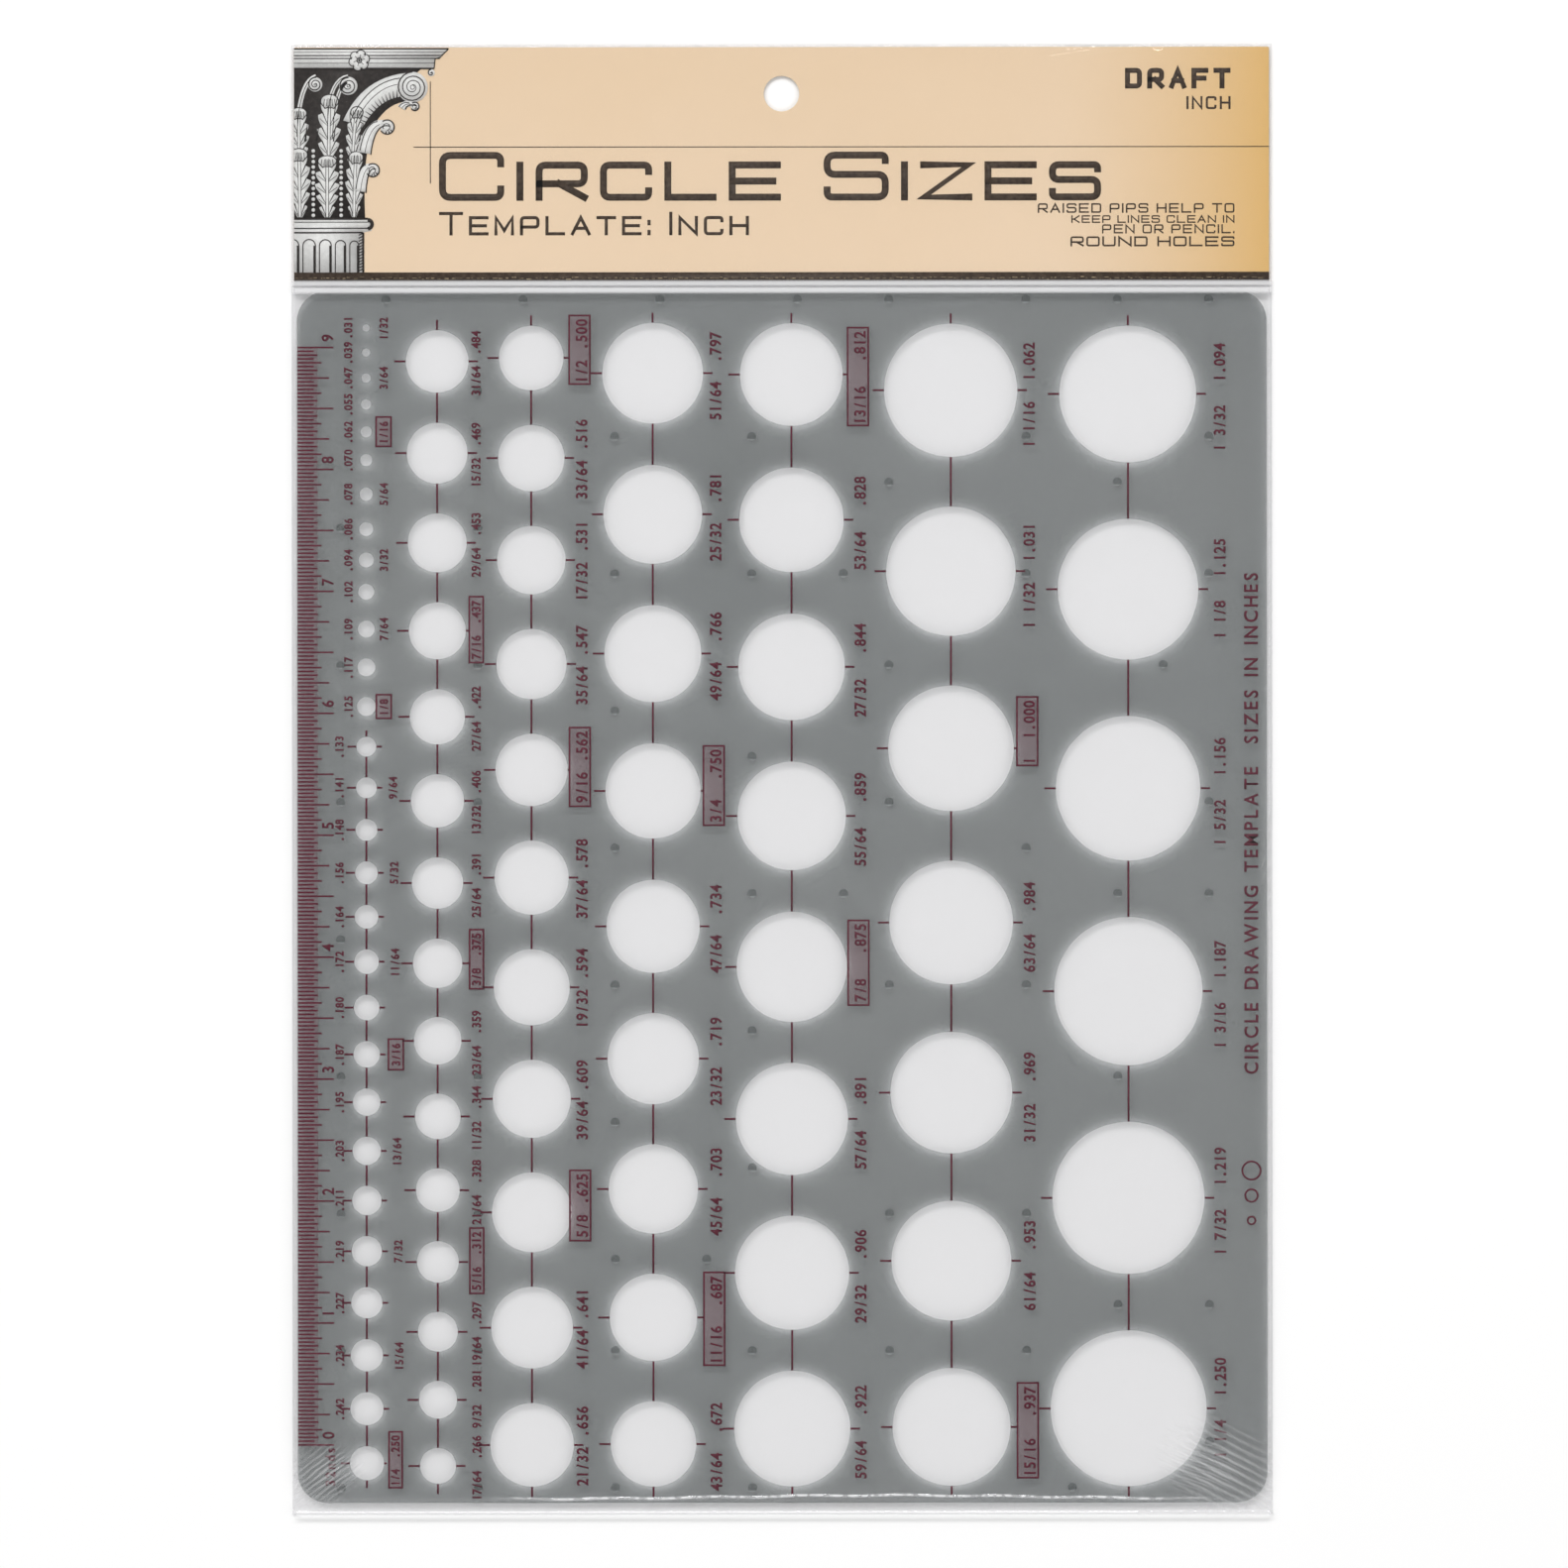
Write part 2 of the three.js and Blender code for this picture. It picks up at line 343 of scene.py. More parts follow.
def header_card_material():
    material, tree = node_tree("printed_buff_card")
    x = object_axis(tree, "X")
    y = object_axis(tree, "Y")
    right = card_high[0] * MM
    low = card_low[1] * MM
    high = card_high[1] * MM
    cloud = spread_to(tree, noise(tree, 30.0, 2.0), -0.25, 0.25, 0.3, 0.7)
    lift = math_node(tree, "ADD", spread_to(tree, y, 1.0, 0.0, low, high), cloud)
    ground = mixed_colour(tree, lift, CARD_BUFF, CARD_CREAM)
    edge = math_node(tree, "POWER", spread_to(tree, x, 0.0, 1.0, right - AMBER_REACH * MM, right), 1.6)
    toned = mixed_colour(tree, edge, ground, CARD_AMBER)
    grain = spread_to(tree, noise(tree, 2600.0, 2.0), 0.0, 0.10, 0.3, 0.7)
    colour = mixed_colour(tree, grain, toned, CARD_FIBRE)
    tooth = bump(tree, noise(tree, 1400.0, 4.0), 0.2, 0.03)
    shader = add_node(tree, "ShaderNodeBsdfPrincipled", Base_Color=colour, Roughness=0.55, Normal=tooth)
    return finished(material, shader)


card = plate(
    "header_card_buff",
    rounded_outline(card_low, card_high, CARD_CORNER, 3),
    [(*hang_hole, HANG_HOLE_RADIUS, 64)],
    card_low[2], card_high[2], CARD_EDGE, header_card_material(),
)
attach(card, "sleeve")
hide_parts("header_card")


# ---------------------------------------------------------------------------------------------
# Header print: dark brown ink on the card. A band along the foot, a wide squared title with a
# smaller line under it, two words and a note at the right, and two hairlines.
# ---------------------------------------------------------------------------------------------

INK_THICKNESS = 0.008
LAYER_STEP = 0.0003
HEADER_BROWN = (0.040, 0.026, 0.017)
BAND_HEIGHT = 2.5


def box_corners(left, right, low, high):
    return [(left, low), (right, low), (right, high), (left, high)]


class Print:
    """Flat printed shapes gathered at one height, made into one thin closed layer."""

    def __init__(self, z):
        self.z = z
        self.verts = []
        self.faces = []

    def polygon(self, points):
        """Adds a shape just over the one before, so that no two lie in the same plane."""
        self.z += LAYER_STEP
        first = len(self.verts)
        self.verts += [(x, y, self.z) for x, y in points]
        self.faces.append(tuple(range(first, first + len(points))))

    def shape(self, points, faces):
        first = len(self.verts)
        self.verts += [(x, y, self.z) for x, y in points]
        self.faces += [tuple(i + first for i in face) for face in faces]

    def line(self, points, width, closed=False, end_width=None):
        """A ribbon along points, mitred at the corners; its width may run to end_width."""
        spots = [Vector(p) for p in points]
        count = len(spots)
        last_width = width if end_width is None else end_width
        left, right = [], []
        for i, spot in enumerate(spots):
            before = spots[i - 1] if i or closed else None
            after = spots[(i + 1) % count] if i < count - 1 or closed else None
            steps_by = [spot - before] if before is not None else []
            steps_by += [after - spot] if after is not None else []
            ways = [step.normalized() for step in steps_by if step.length > 1e-9]
            normals = [Vector((-w.y, w.x)) for w in ways]
            across = sum(normals, Vector((0, 0))).normalized()
            reach = 1 / max(across.dot(normals[0]), 0.45)
            share = i / max(count - 1, 1)
            half = (width + (last_width - width) * share) / 2
            left.append(tuple(spot + across * half * reach))
            right.append(tuple(spot - across * half * reach))
        links = list(range(count)) + ([0] if closed else [])
        faces = [(a, b, b + count, a + count) for a, b in zip(links, links[1:])]
        self.shape(right + left, faces)

    def finish(self, name, material, body, slot_name, left_edge=None):
        """Makes the layer solid. Anything printed past left_edge is cut away."""
        piece = object_from(name, self.verts, self.faces, material)
        cut = bmesh.new()
        cut.from_mesh(piece.data)
        if left_edge is not None:
            whole = cut.verts[:] + cut.edges[:] + cut.faces[:]
            bmesh.ops.bisect_plane(
                cut, geom=whole, plane_co=(left_edge * MM, 0, 0), plane_no=(1, 0, 0), clear_inner=True
            )
        cut.to_mesh(piece.data)
        cut.free()
        thick = piece.modifiers.new("ink", "SOLIDIFY")
        thick.thickness = INK_THICKNESS * MM
        thick.offset = 1.0
        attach(piece, body)
        return piece


def ink_material(name, colour, worn, roughness):
    """Screen-printed ink: two close tones in a fine mottle, with a slight tooth."""
    material, tree = node_tree(name)
    mottle = spread_to(tree, noise(tree, 1100.0, 3.0), 0.0, 1.0, 0.35, 0.65)
    shader = add_node(
        tree, "ShaderNodeBsdfPrincipled", Base_Color=mixed_colour(tree, mottle, colour, worn),
        Roughness=roughness, Specular_IOR_Level=0.15, Normal=bump(tree, noise(tree, 2500.0), 0.15, 0.01),
    )
    return finished(material, shader)


# Block capitals as pen strokes in a unit box. The first item says if the corners are rounded.
BLOCK_LETTERS = {
    "A": (False, [[(0, 0), (0.5, 1), (1, 0)], [(0.17, 0.34), (0.83, 0.34)]]),
    "C": (True, [[(1, 0.80), (1, 1), (0, 1), (0, 0), (1, 0), (1, 0.20)]]),
    "D": (True, [[(0, 0), (0, 1)], [(0, 1), (1, 1), (1, 0), (0, 0)]]),
    "E": (False, [[(1, 1), (0, 1), (0, 0), (1, 0)], [(0, 0.5), (0.9, 0.5)]]),
    "F": (False, [[(1, 1), (0, 1), (0, 0)], [(0, 0.5), (0.85, 0.5)]]),
    "H": (False, [[(0, 0), (0, 1)], [(1, 0), (1, 1)], [(0, 0.5), (1, 0.5)]]),
    "I": (False, [[(0, 0), (0, 1)]]),
    "K": (False, [[(0, 0), (0, 1)], [(1, 1), (0.3, 0.5), (1, 0)], [(0, 0.5), (0.3, 0.5)]]),
    "L": (False, [[(0, 1), (0, 0), (1, 0)]]),
    "M": (False, [[(0, 0), (0, 1), (0.5, 0.2), (1, 1), (1, 0)]]),
    "N": (False, [[(0, 0), (0, 1), (1, 0), (1, 1)]]),
    "O": (True, [[(0.5, 1), (0, 1), (0, 0), (1, 0), (1, 1), (0.5, 1)]]),
    "P": (True, [[(0, 0), (0, 1), (1, 1), (1, 0.42), (0, 0.42)]]),
    "R": (True, [[(0, 0), (0, 1), (1, 1), (1, 0.42), (0, 0.42)], [(0.45, 0.42), (1, 0)]]),
    "S": (True, [[(1, 0.87), (1, 1), (0, 1), (0, 0.54), (1, 0.54), (1, 0), (0, 0), (0, 0.17)]]),
    "T": (False, [[(0, 1), (1, 1)], [(0.5, 1), (0.5, 0)]]),
    "U": (True, [[(0, 1), (0, 0), (1, 0), (1, 1)]]),
    "Z": (False, [[(0, 1), (1, 1), (0, 0), (1, 0)]]),
    ".": (False, [[(0, 0), (0, 0.1)]]),
    ":": (False, [[(0, 0), (0, 0.14)], [(0, 0.62), (0, 0.76)]]),
}
NARROW = {"I": 0.0, ".": 0.0, ":": 0.0, " ": 0.35}
LETTER_SPACE = 0.25
LETTER_ROUNDING = 0.17


def rounded_corners(points, radius):
    """The same path with each inner corner turned into a short arc."""
    path = [Vector(points[0])]
    for before, corner, after in zip(points, points[1:], points[2:]):
        corner = Vector(corner)
        back = Vector(before) - corner
        on = Vector(after) - corner
        r = min(radius, back.length / 2, on.length / 2)
        start = corner + back.normalized() * r
        end = corner + on.normalized() * r
        for i in range(6):
            t = i / 5
            path.append(start * (1 - t) ** 2 + corner * 2 * t * (1 - t) + end * t ** 2)
    path.append(Vector(points[-1]))
    return [tuple(p) for p in path]


def square_ends(points, more):
    """The same open path, longer by a little at both ends. A closed path stays as it is."""
    if points[0] == points[-1]:
        return points
    first, second = Vector(points[0]), Vector(points[1])
    last, before = Vector(points[-1]), Vector(points[-2])
    start = first + (first - second).normalized() * more
    end = last + (last - before).normalized() * more
    return [tuple(start), *points[1:-1], tuple(end)]


def block_text(layer, text, left, y, length, height, stroke, small=1.0):
    """Writes block capitals over a given length; letters after each word's first may be smaller.

    Each letter's width, its space and the stroke all come from its own height and the length."""
    heights = []
    first = True
    for letter in text:
        heights.append(height if first else height * small)
        first = letter == " "
    shares = [NARROW.get(c, 1.0) * tall for c, tall in zip(text, heights)]
    spaces = height * LETTER_SPACE * (len(text) - 1)
    bare = stroke * sum(1 for c in text if NARROW.get(c, 1.0) == 0)
    wide = (length - spaces - bare) / sum(shares)
    x = left
    ground = layer.z
    for letter, tall, share in zip(text, heights, shares):
        width = share * wide if share else stroke
        layer.z = ground
        if letter != " ":
            rounded, strokes = BLOCK_LETTERS[letter]
            inner_w, inner_h = max(width - stroke, 0.0), tall - stroke
            for path in strokes:
                half = stroke / 2
                spots = [(x + half + px * inner_w, y + half + py * inner_h) for px, py in path]
                spots = square_ends(spots, half)
                if rounded:
                    spots = rounded_corners(spots, tall * LETTER_ROUNDING)
                layer.z += LAYER_STEP
                layer.line(spots, stroke)
        x += width + height * LETTER_SPACE


PRINT_LIFT = 0.004
header_ink = Print(card_high[2] + PRINT_LIFT)
header_ink.polygon(box_corners(card_low[0], card_high[0], card_low[1], card_low[1] + BAND_HEIGHT))
RULE_Y = 131.8
RULE_X = -73.2
HAIRLINE = 0.2
TEXT_LEFT = -71.4
TEXT_RIGHT = 94.4
header_ink.line([(-76.7, RULE_Y), (card_high[0], RULE_Y)], HAIRLINE)
header_ink.line([(RULE_X, 124.2), (RULE_X, 145.5)], HAIRLINE)
block_text(header_ink, "CIRCLE SIZES", TEXT_LEFT, 120.6, 138.0, 10.2, 1.45, 0.8)
block_text(header_ink, "TEMPLATE: INCH", TEXT_LEFT, 113.4, 64.6, 4.9, 0.66, 0.82)
for text, y, tall, length, stroke in (
    ("RAISED PIPS HELP TO", 118.0, 2.0, 41.0, 0.32), ("KEEP LINES CLEAN IN", 115.9, 1.6, 34.0, 0.27),
    ("PEN OR PENCIL.", 113.7, 1.9, 27.6, 0.30), ("ROUND HOLES", 111.0, 2.1, 34.2, 0.36),
):
    block_text(header_ink, text, TEXT_RIGHT - length, y, length, tall, stroke)
block_text(header_ink, "DRAFT", 71.6, 143.9, 22.0, 4.3, 1.05)
block_text(header_ink, "INCH", 84.4, 139.6, 9.2, 2.7, 0.45)
header_ink.finish(
    "header_print_brown", ink_material("header_ink_brown", HEADER_BROWN, (0.075, 0.052, 0.036), 0.45),
    "sleeve", "header_ink",
)

# Pale flecks along the middle of the band: painted highlight, standing in for the glints of the heat seal
# line under the film.
painted_band_glints = Print(card_high[2] + PRINT_LIFT + 0.012)
chance = random.Random(7)
glint_x = card_low[0] + 0.3
while glint_x < card_high[0] - 1.0:
    length = chance.uniform(0.15, 1.1)
    middle = card_low[1] + 1.28 + chance.gauss(0, 0.09)
    painted_band_glints.line([(glint_x, middle), (glint_x + length, middle)], chance.uniform(0.08, 0.24))
    glint_x += length + chance.uniform(0.05, 0.9)
painted_band_glints.finish(
    "band_painted_glints", ink_material("band_painted_glint_gold", (0.46, 0.36, 0.22), (0.13, 0.10, 0.07), 0.4),
    "sleeve", "header_ink",
)


# ---------------------------------------------------------------------------------------------
# Header picture: a plain classical column drawn in white and black ink at the card's left end.
# Its capital has a slab, a scroll and two rows of leaves, above a ring and a fluted shaft.
# ---------------------------------------------------------------------------------------------

PAPER_WHITE = (0.86, 0.86, 0.84)
LINE_BLACK = (0.020, 0.016, 0.014)
column_left = card_low[0]
column_foot = card_low[1] + BAND_HEIGHT
RING_LOW = 114.0
RING_HIGH = 116.9
SLAB_LOW = 148.2
column_top = card_high[1] - 0.3
SHAFT_RIGHT = -87.2
SCROLL = (-76.9, 144.3)
SCROLL_RADIUS = 3.2
FLOWER = (-88.0, 149.9)
FLUTE_HEAD_Y = 111.3

# Each layer lies just over the one before it, so that nearer leaves hide farther ones.
LAYER_RISE = 0.012
(
    ground_white, ground_black, back_white, back_black, fore_white, fore_black, top_white, top_black,
    flower, flower_lines,
) = [Print(card_high[2] + PRINT_LIFT + LAYER_RISE * i) for i in range(10)]


def arc(x, y, radius, start, end, count):
    turns = [math.radians(start + (end - start) * i / count) for i in range(count + 1)]
    return [spoke(x, y, radius, t) for t in turns]


def curve_through(a, bend, b, count):
    points = []
    for i in range(count + 1):
        t = i / count
        points.append(tuple(
            a[k] * (1 - t) ** 2 + bend[k] * 2 * t * (1 - t) + b[k] * t ** 2 for k in (0, 1)
        ))
    return points


def leaf(white, black, x, foot, height, width, lean, fingers):
    """One standing leaf with notched sides, veins, a double rib and a tip that folds forward."""
    def side_point(t, side):
        swell = 0.42 + 0.58 * math.sin(math.pi * min(t, 1.0) * 0.86)
        notch = 1 - 0.42 * (1 - (t * fingers) % 1.0) ** 2
        return (x + lean * t * t + side * width / 2 * swell * notch, foot + height * t)

    stations = [i / (fingers * 6) for i in range(fingers * 6)] + [0.999]
    right = [side_point(t, 1) for t in stations]
    left = [side_point(t, -1) for t in stations]
    rib = [(x + lean * t * t, foot + height * t) for t in stations]
    count = len(rib)
    halves = [(i, i + count, i + count + 1, i + 1) for i in range(2 * count - 1) if i != count - 1]
    white.z += LAYER_STEP
    white.shape(left + rib + right, halves)
    black.line(left, 0.16)
    black.line(right, 0.16)
    for shift in (-0.28, 0.28):
        black.line([(px + shift, py) for px, py in rib], 0.13)
    for i in range(1, fingers):
        for side in (-1, 1):
            end = side_point(i / fingers + 0.001, side)
            start = (x + lean * 0.5 * (i / fingers) + side * 0.3, end[1] - height * 0.17)
            black.line([start, end], 0.10, end_width=0.26)
            middle = side_point(i / fingers - 0.07, side)
            vein_end = (middle[0] * 0.8 + start[0] * 0.2, middle[1] - 0.2)
            black.line([(start[0], start[1] - 0.25), vein_end], 0.12)
    fold_x = x + lean
    fold_y = foot + height * 0.96
    fold = []
    for degrees in range(0, 360, 15):
        turn = math.radians(degrees)
        dip = 0.30 if degrees % 60 == 0 and degrees >= 180 else 0.0
        across, up = width * 0.36 * math.cos(turn), height * 0.095 * math.sin(turn)
        fold.append((fold_x + across, fold_y + up - dip))
    white.polygon(fold)
    black.line(fold, 0.2, closed=True)
    for i in range(-2, 3):
        low = (fold_x + i * width * 0.12, fold_y - height * 0.07)
        high = (fold_x + i * width * 0.10, fold_y + height * 0.03)
        black.line([low, high], 0.13)


def curl(x, y, radius, stem):
    """A leaf tip that rises along the column's edge and rolls over outwards, seen from the side."""
    over = (stem[0] + (x - stem[0]) * 0.25, y + radius * 1.1)
    path = curve_through(stem, over, (x, y + radius * 0.35), 12)
    top_white.z += LAYER_STEP
    top_white.line(path, radius * 2.1, end_width=radius * 1.0)
    knob = []
    for degrees in range(0, 360, 12):
        t = math.radians(degrees)
        knob.append(spoke(x, y, radius * (1 + 0.10 * math.cos(5 * t)), t))
    top_white.polygon(knob)
    outer = [(px + radius * (0.95 - 0.5 * i / 12), py - radius * 0.25) for i, (px, py) in enumerate(path)]
    top_black.line(outer, 0.26)
    top_black.line([(px - radius * 0.6, py + radius * 0.35) for px, py in path[:-2]], 0.2)
    top_black.line([(px + radius * 0.1, py) for px, py in path[:-3]], 0.13)
    top_black.line(arc(x, y, radius * 1.02, -150, 130, 18), 0.26)
    top_black.line(arc(x - radius * 0.1, y, radius * 0.5, -80, 210, 12), 0.17)
    for degrees in (-100, -70, -40):
        t = math.radians(degrees)
        top_black.line([spoke(x, y, radius * 0.55, t), spoke(x, y, radius, t)], 0.12, end_width=0.3)


def scroll(x, y, radius, start, turns, white, black):
    white.polygon(ring(x, y, radius, 36))
    spiral = []
    for i in range(turns * 20 + 1):
        turn = math.radians(start) + 2 * math.pi * i / 20
        spiral.append(spoke(x, y, radius * (1 - 0.84 * i / (turns * 20)), turn))
    black.line(spiral, 0.28, end_width=0.14)
    black.line(ring(x, y, radius * 0.14, 12), 0.14, closed=True)


# The bell behind the leaves is solid black, with a flared right side.
bell_side = curve_through((-86.8, RING_HIGH), (-87.6, 134.5), (-83.3, 138.6), 10)
bell_side += curve_through((-83.3, 138.6), (-81.0, 141.3), (-77.4, 141.4), 6)[1:]
ground_white.polygon([
    (column_left, column_foot), (SHAFT_RIGHT, column_foot), (SHAFT_RIGHT, RING_LOW),
    (-85.4, RING_LOW + 0.4), (-85.4, RING_HIGH - 0.4), (-86.4, RING_HIGH), (column_left, RING_HIGH),
])
ground_black.polygon([
    (column_left, RING_HIGH), *bell_side, (-77.4, 146.0), (-75.0, SLAB_LOW), (column_left, SLAB_LOW),
])
slab_side = [(-72.4, SLAB_LOW), (-72.2, 150.2), (-70.9, 150.6)]
slab_lip = curve_through((-70.9, 150.9), (-70.2, 151.4), (-69.4, column_top), 5)
top_white.polygon([(column_left, SLAB_LOW), *slab_side, *slab_lip, (column_left, column_top)])

# The corner scroll and the stalk that swings up to it, hatched along its shaded underside.
stalk_upper = curve_through((-91.5, 137.4), (-87.4, 146.9), (-77.2, 147.5), 14)
stalk_lower = curve_through((-87.0, 136.2), (-83.6, 142.0), (-78.8, 142.2), 14)
back_white.shape(stalk_lower + stalk_upper, [(i, i + 1, i + 16, i + 15) for i in range(14)])
back_black.line(stalk_upper, 0.3)
back_black.line(stalk_lower, 0.34)
back_black.line(curve_through((-89.9, 137.2), (-86.3, 145.3), (-79.6, 146.2), 12), 0.2)
back_black.line(curve_through((-88.9, 136.8), (-85.4, 144.0), (-80.0, 144.9), 12), 0.14)
for i in range(1, 14):
    a, b = stalk_lower[i], stalk_upper[i]
    back_black.line([a, (a[0] * 0.68 + b[0] * 0.32, a[1] * 0.68 + b[1] * 0.32)], 0.26, end_width=0.08)
scroll(*SCROLL, SCROLL_RADIUS, 90, 3, top_white, top_black)
scroll(-90.3, 144.6, 1.9, 90, 2, back_white, back_black)
for foot, bend, tip, width in (
    ((-94.6, 133.5), (-95.0, 146.0), (-90.3, 146.6), 0.75),
    ((-93.6, 133.5), (-93.2, 144.0), (-90.6, 145.4), 0.75),
    ((-101.0, 134.0), (-100.6, 145.6), (-97.0, 146.6), 0.9),
):
    stalk = curve_through(foot, bend, tip, 10)
    back_white.line(stalk, width)
    back_black.line(stalk, 0.16)
scroll(-97.2, 144.9, 1.5, 80, 2, back_white, back_black)

# Two tiers of leaves with beaded stems between them, and three leaf tips at the right edge.
for white, black, foot, tier in (
    (back_white, back_black, 127.2,
     [(-100.6, 12.2, 4.6, 0.0), (-94.4, 14.8, 5.2, 0.2), (-89.4, 12.4, 3.6, 0.9)]),
    (fore_white, fore_black, RING_HIGH + 0.3,
     [(-100.4, 13.6, 5.0, -0.2), (-94.7, 12.2, 5.4, 0.0), (-89.1, 13.0, 4.2, 0.4)]),
):
    for x, height, width, lean in tier:
        leaf(white, black, x, foot, height, width, lean, 5)
for x in (-97.6, -91.8):
    for i in range(13):
        bead = ring(x, RING_HIGH + 0.7 + i * 1.12, 0.46, 8)
        back_white.polygon(bead)
        back_black.line(bead, 0.12, closed=True)
curl(-85.2, 127.0, 1.35, (-87.9, 122.6))
curl(-82.2, 136.0, 1.45, (-87.0, 130.6))
curl(-76.4, 140.3, 0.85, (-79.2, 139.9))
for x, width in ((-99.3, 1.6), (-96.9, 1.2), (-93.4, 0.9), (-88.0, 1.1), (-86.2, 0.7)):
    fore_black.line([(x, 133.0), (x + 0.5, 136.6)], width * 0.3, end_width=0.08)

# The slab's mouldings with a small flower, the ring, and the flutes with their round heads.
for y, right, width in (
    (SLAB_LOW, -72.4, 0.34), (149.3, -72.3, 0.12), (150.3, -71.2, 0.24), (150.9, -70.6, 0.24),
    (151.6, -70.2, 0.1), (column_top, -69.4, 0.3),
    (RING_LOW, SHAFT_RIGHT, 0.3), (114.9, -86.0, 0.22), (116.2, -86.0, 0.12), (RING_HIGH, -86.2, 0.4),
):
    top_black.line([(column_left, y), (right, y)], width)
top_black.line(slab_side, 0.22)
top_black.line(slab_lip, 0.22)
for turn in range(0, 360, 60):
    petal = spoke(*FLOWER, 1.25, math.radians(turn + 15))
    flower.polygon(ring(*petal, 0.95, 14))
    flower_lines.line(arc(*petal, 0.95, turn - 75, turn + 105, 10), 0.2)
    flower_lines.line([FLOWER, petal], 0.14)
flower_lines.line(ring(*FLOWER, 0.5, 14), 0.2, closed=True)
scroll(-73.0, 147.3, 0.75, 90, 1, top_white, top_black)
top_black.line(arc(-86.3, (RING_LOW + RING_HIGH) / 2 + 0.3, 0.95, -85, 85, 8), 0.75)
flute_right = SHAFT_RIGHT - 0.9
flute_width = 1.9
while flute_right - flute_width > column_left - 3.0:
    flute_left = flute_right - flute_width
    head = arc((flute_left + flute_right) / 2, FLUTE_HEAD_Y, flute_width / 2, 180, 0, 10)
    top_black.line([(flute_left, column_foot), *head, (flute_right, column_foot)], 0.2)
    top_black.line([(flute_right - 0.26, column_foot), (flute_right - 0.26, FLUTE_HEAD_Y)], 0.3)
    flute_right -= flute_width + 0.85
    flute_width = min(flute_width * 1.14, 2.6)
for i in range(13):
    y = column_foot + 0.3 + i * 0.62
    top_black.line([(SHAFT_RIGHT - 0.95, y), (SHAFT_RIGHT, y + 0.45)], 0.2)
top_black.line([(SHAFT_RIGHT, column_foot), (SHAFT_RIGHT, RING_LOW)], 0.4)

white_ink = ink_material("header_ink_white", PAPER_WHITE, (0.78, 0.78, 0.76), 0.5)
black_ink = ink_material("header_ink_black", LINE_BLACK, (0.035, 0.028, 0.025), 0.45)
for name, layer, ink in (
    ("column_ground", ground_white, white_ink), ("column_bell", ground_black, black_ink),
    ("column_back_leaves", back_white, white_ink), ("column_back_lines", back_black, black_ink),
    ("column_fore_leaves", fore_white, white_ink), ("column_fore_lines", fore_black, black_ink),
    ("column_slab", top_white, white_ink), ("column_slab_lines", top_black, black_ink),
    ("column_flower", flower, white_ink), ("column_flower_lines", flower_lines, black_ink),
):
    layer.finish(name, ink, "sleeve", "header_ink", column_left)


# ---------------------------------------------------------------------------------------------
# Template sheet: smoke-tinted clear plastic with a fine matte face, moulded in one piece with
# its graded round holes. The hole edges are slightly eased so that a pen point runs smoothly.
# ---------------------------------------------------------------------------------------------

INCH = 25.4
SHEET_THICKNESS = 0.76
PEN_ALLOWANCE = 0.76
sheet_low, sheet_high = box_mm("template_sheet")
sheet_under = sheet_high[2] - SHEET_THICKNESS

# Each column runs down from first_y. gaps lists how many clear spaces in a row have which width.
# label is how far right of the column its sizes are printed, text is their height, cell is the
# room each letter takes, and rise and drop are how far the sizes stand clear of the cross tick.
COLUMNS = [
    dict(x=-86.6, first_y=94.1, parts=128, sizes=range(4, 33),
         gaps=[(5, 4.22), (2, 5.2), (2, 4.15), (19, 5.09)],
         label=6.0, text=1.6, cell=1.2, rise=1.4, drop=1.2),
    dict(x=-71.8, first_y=87.1, parts=64, sizes=range(31, 16, -1), gaps=[(7, 7.0), (7, 6.82)],
         label=8.1, text=1.75, cell=1.24, rise=1.75, drop=1.0),
    dict(x=-52.2, first_y=87.8, parts=64, sizes=range(32, 43), gaps=[(10, 7.96)],
         label=10.5, text=2.25, cell=1.64, rise=2.1, drop=0.5),
    dict(x=-26.9, first_y=84.6, parts=64, sizes=range(51, 42, -1), gaps=[(4, 9.36), (4, 9.1)],
         label=13.1, text=2.25, cell=1.62, rise=2.7, drop=1.8),
    dict(x=2.0, first_y=84.3, parts=64, sizes=range(52, 60), gaps=[(4, 9.42), (3, 9.24)],
         label=14.3, text=2.25, cell=1.62, rise=3.1, drop=2.5),
    dict(x=35.2, first_y=81.0, parts=64, sizes=[68, 66, 64, 63, 62, 61, 60], gaps=[(3, 11.1), (3, 10.62)],
         label=16.3, text=2.25, cell=1.62, rise=2.5, drop=2.4),
    dict(x=72.1, first_y=80.2, parts=64, sizes=range(70, 81, 2), gaps=[(5, 12.5)],
         label=19.1, text=2.25, cell=1.62, rise=3.1, drop=2.4),
]


def column_holes(column):
    """The column's holes from the top: (y, nominal diameter, size in its fraction of an inch)."""
    gaps = [width for count, width in column["gaps"] for _ in range(count)] + [0.0]
    part = INCH / column["parts"]
    sizes = list(column["sizes"])
    y = column["first_y"]
    holes = []
    for i, size in enumerate(sizes):
        holes.append((y, size * part, size))
        if i + 1 < len(sizes):
            y -= gaps[i] + (size + sizes[i + 1]) * part / 2
    return holes


def hole_radius(nominal):
    return (nominal + PEN_ALLOWANCE) / 2


def sides_for(diameter):
    return 32 if diameter < 6 else 64 if diameter < 16 else 96


sheet_holes = []
for column in COLUMNS:
    for y, nominal, _ in column_holes(column):
        radius = hole_radius(nominal)
        sheet_holes.append((column["x"], y, radius, sides_for(radius * 2)))

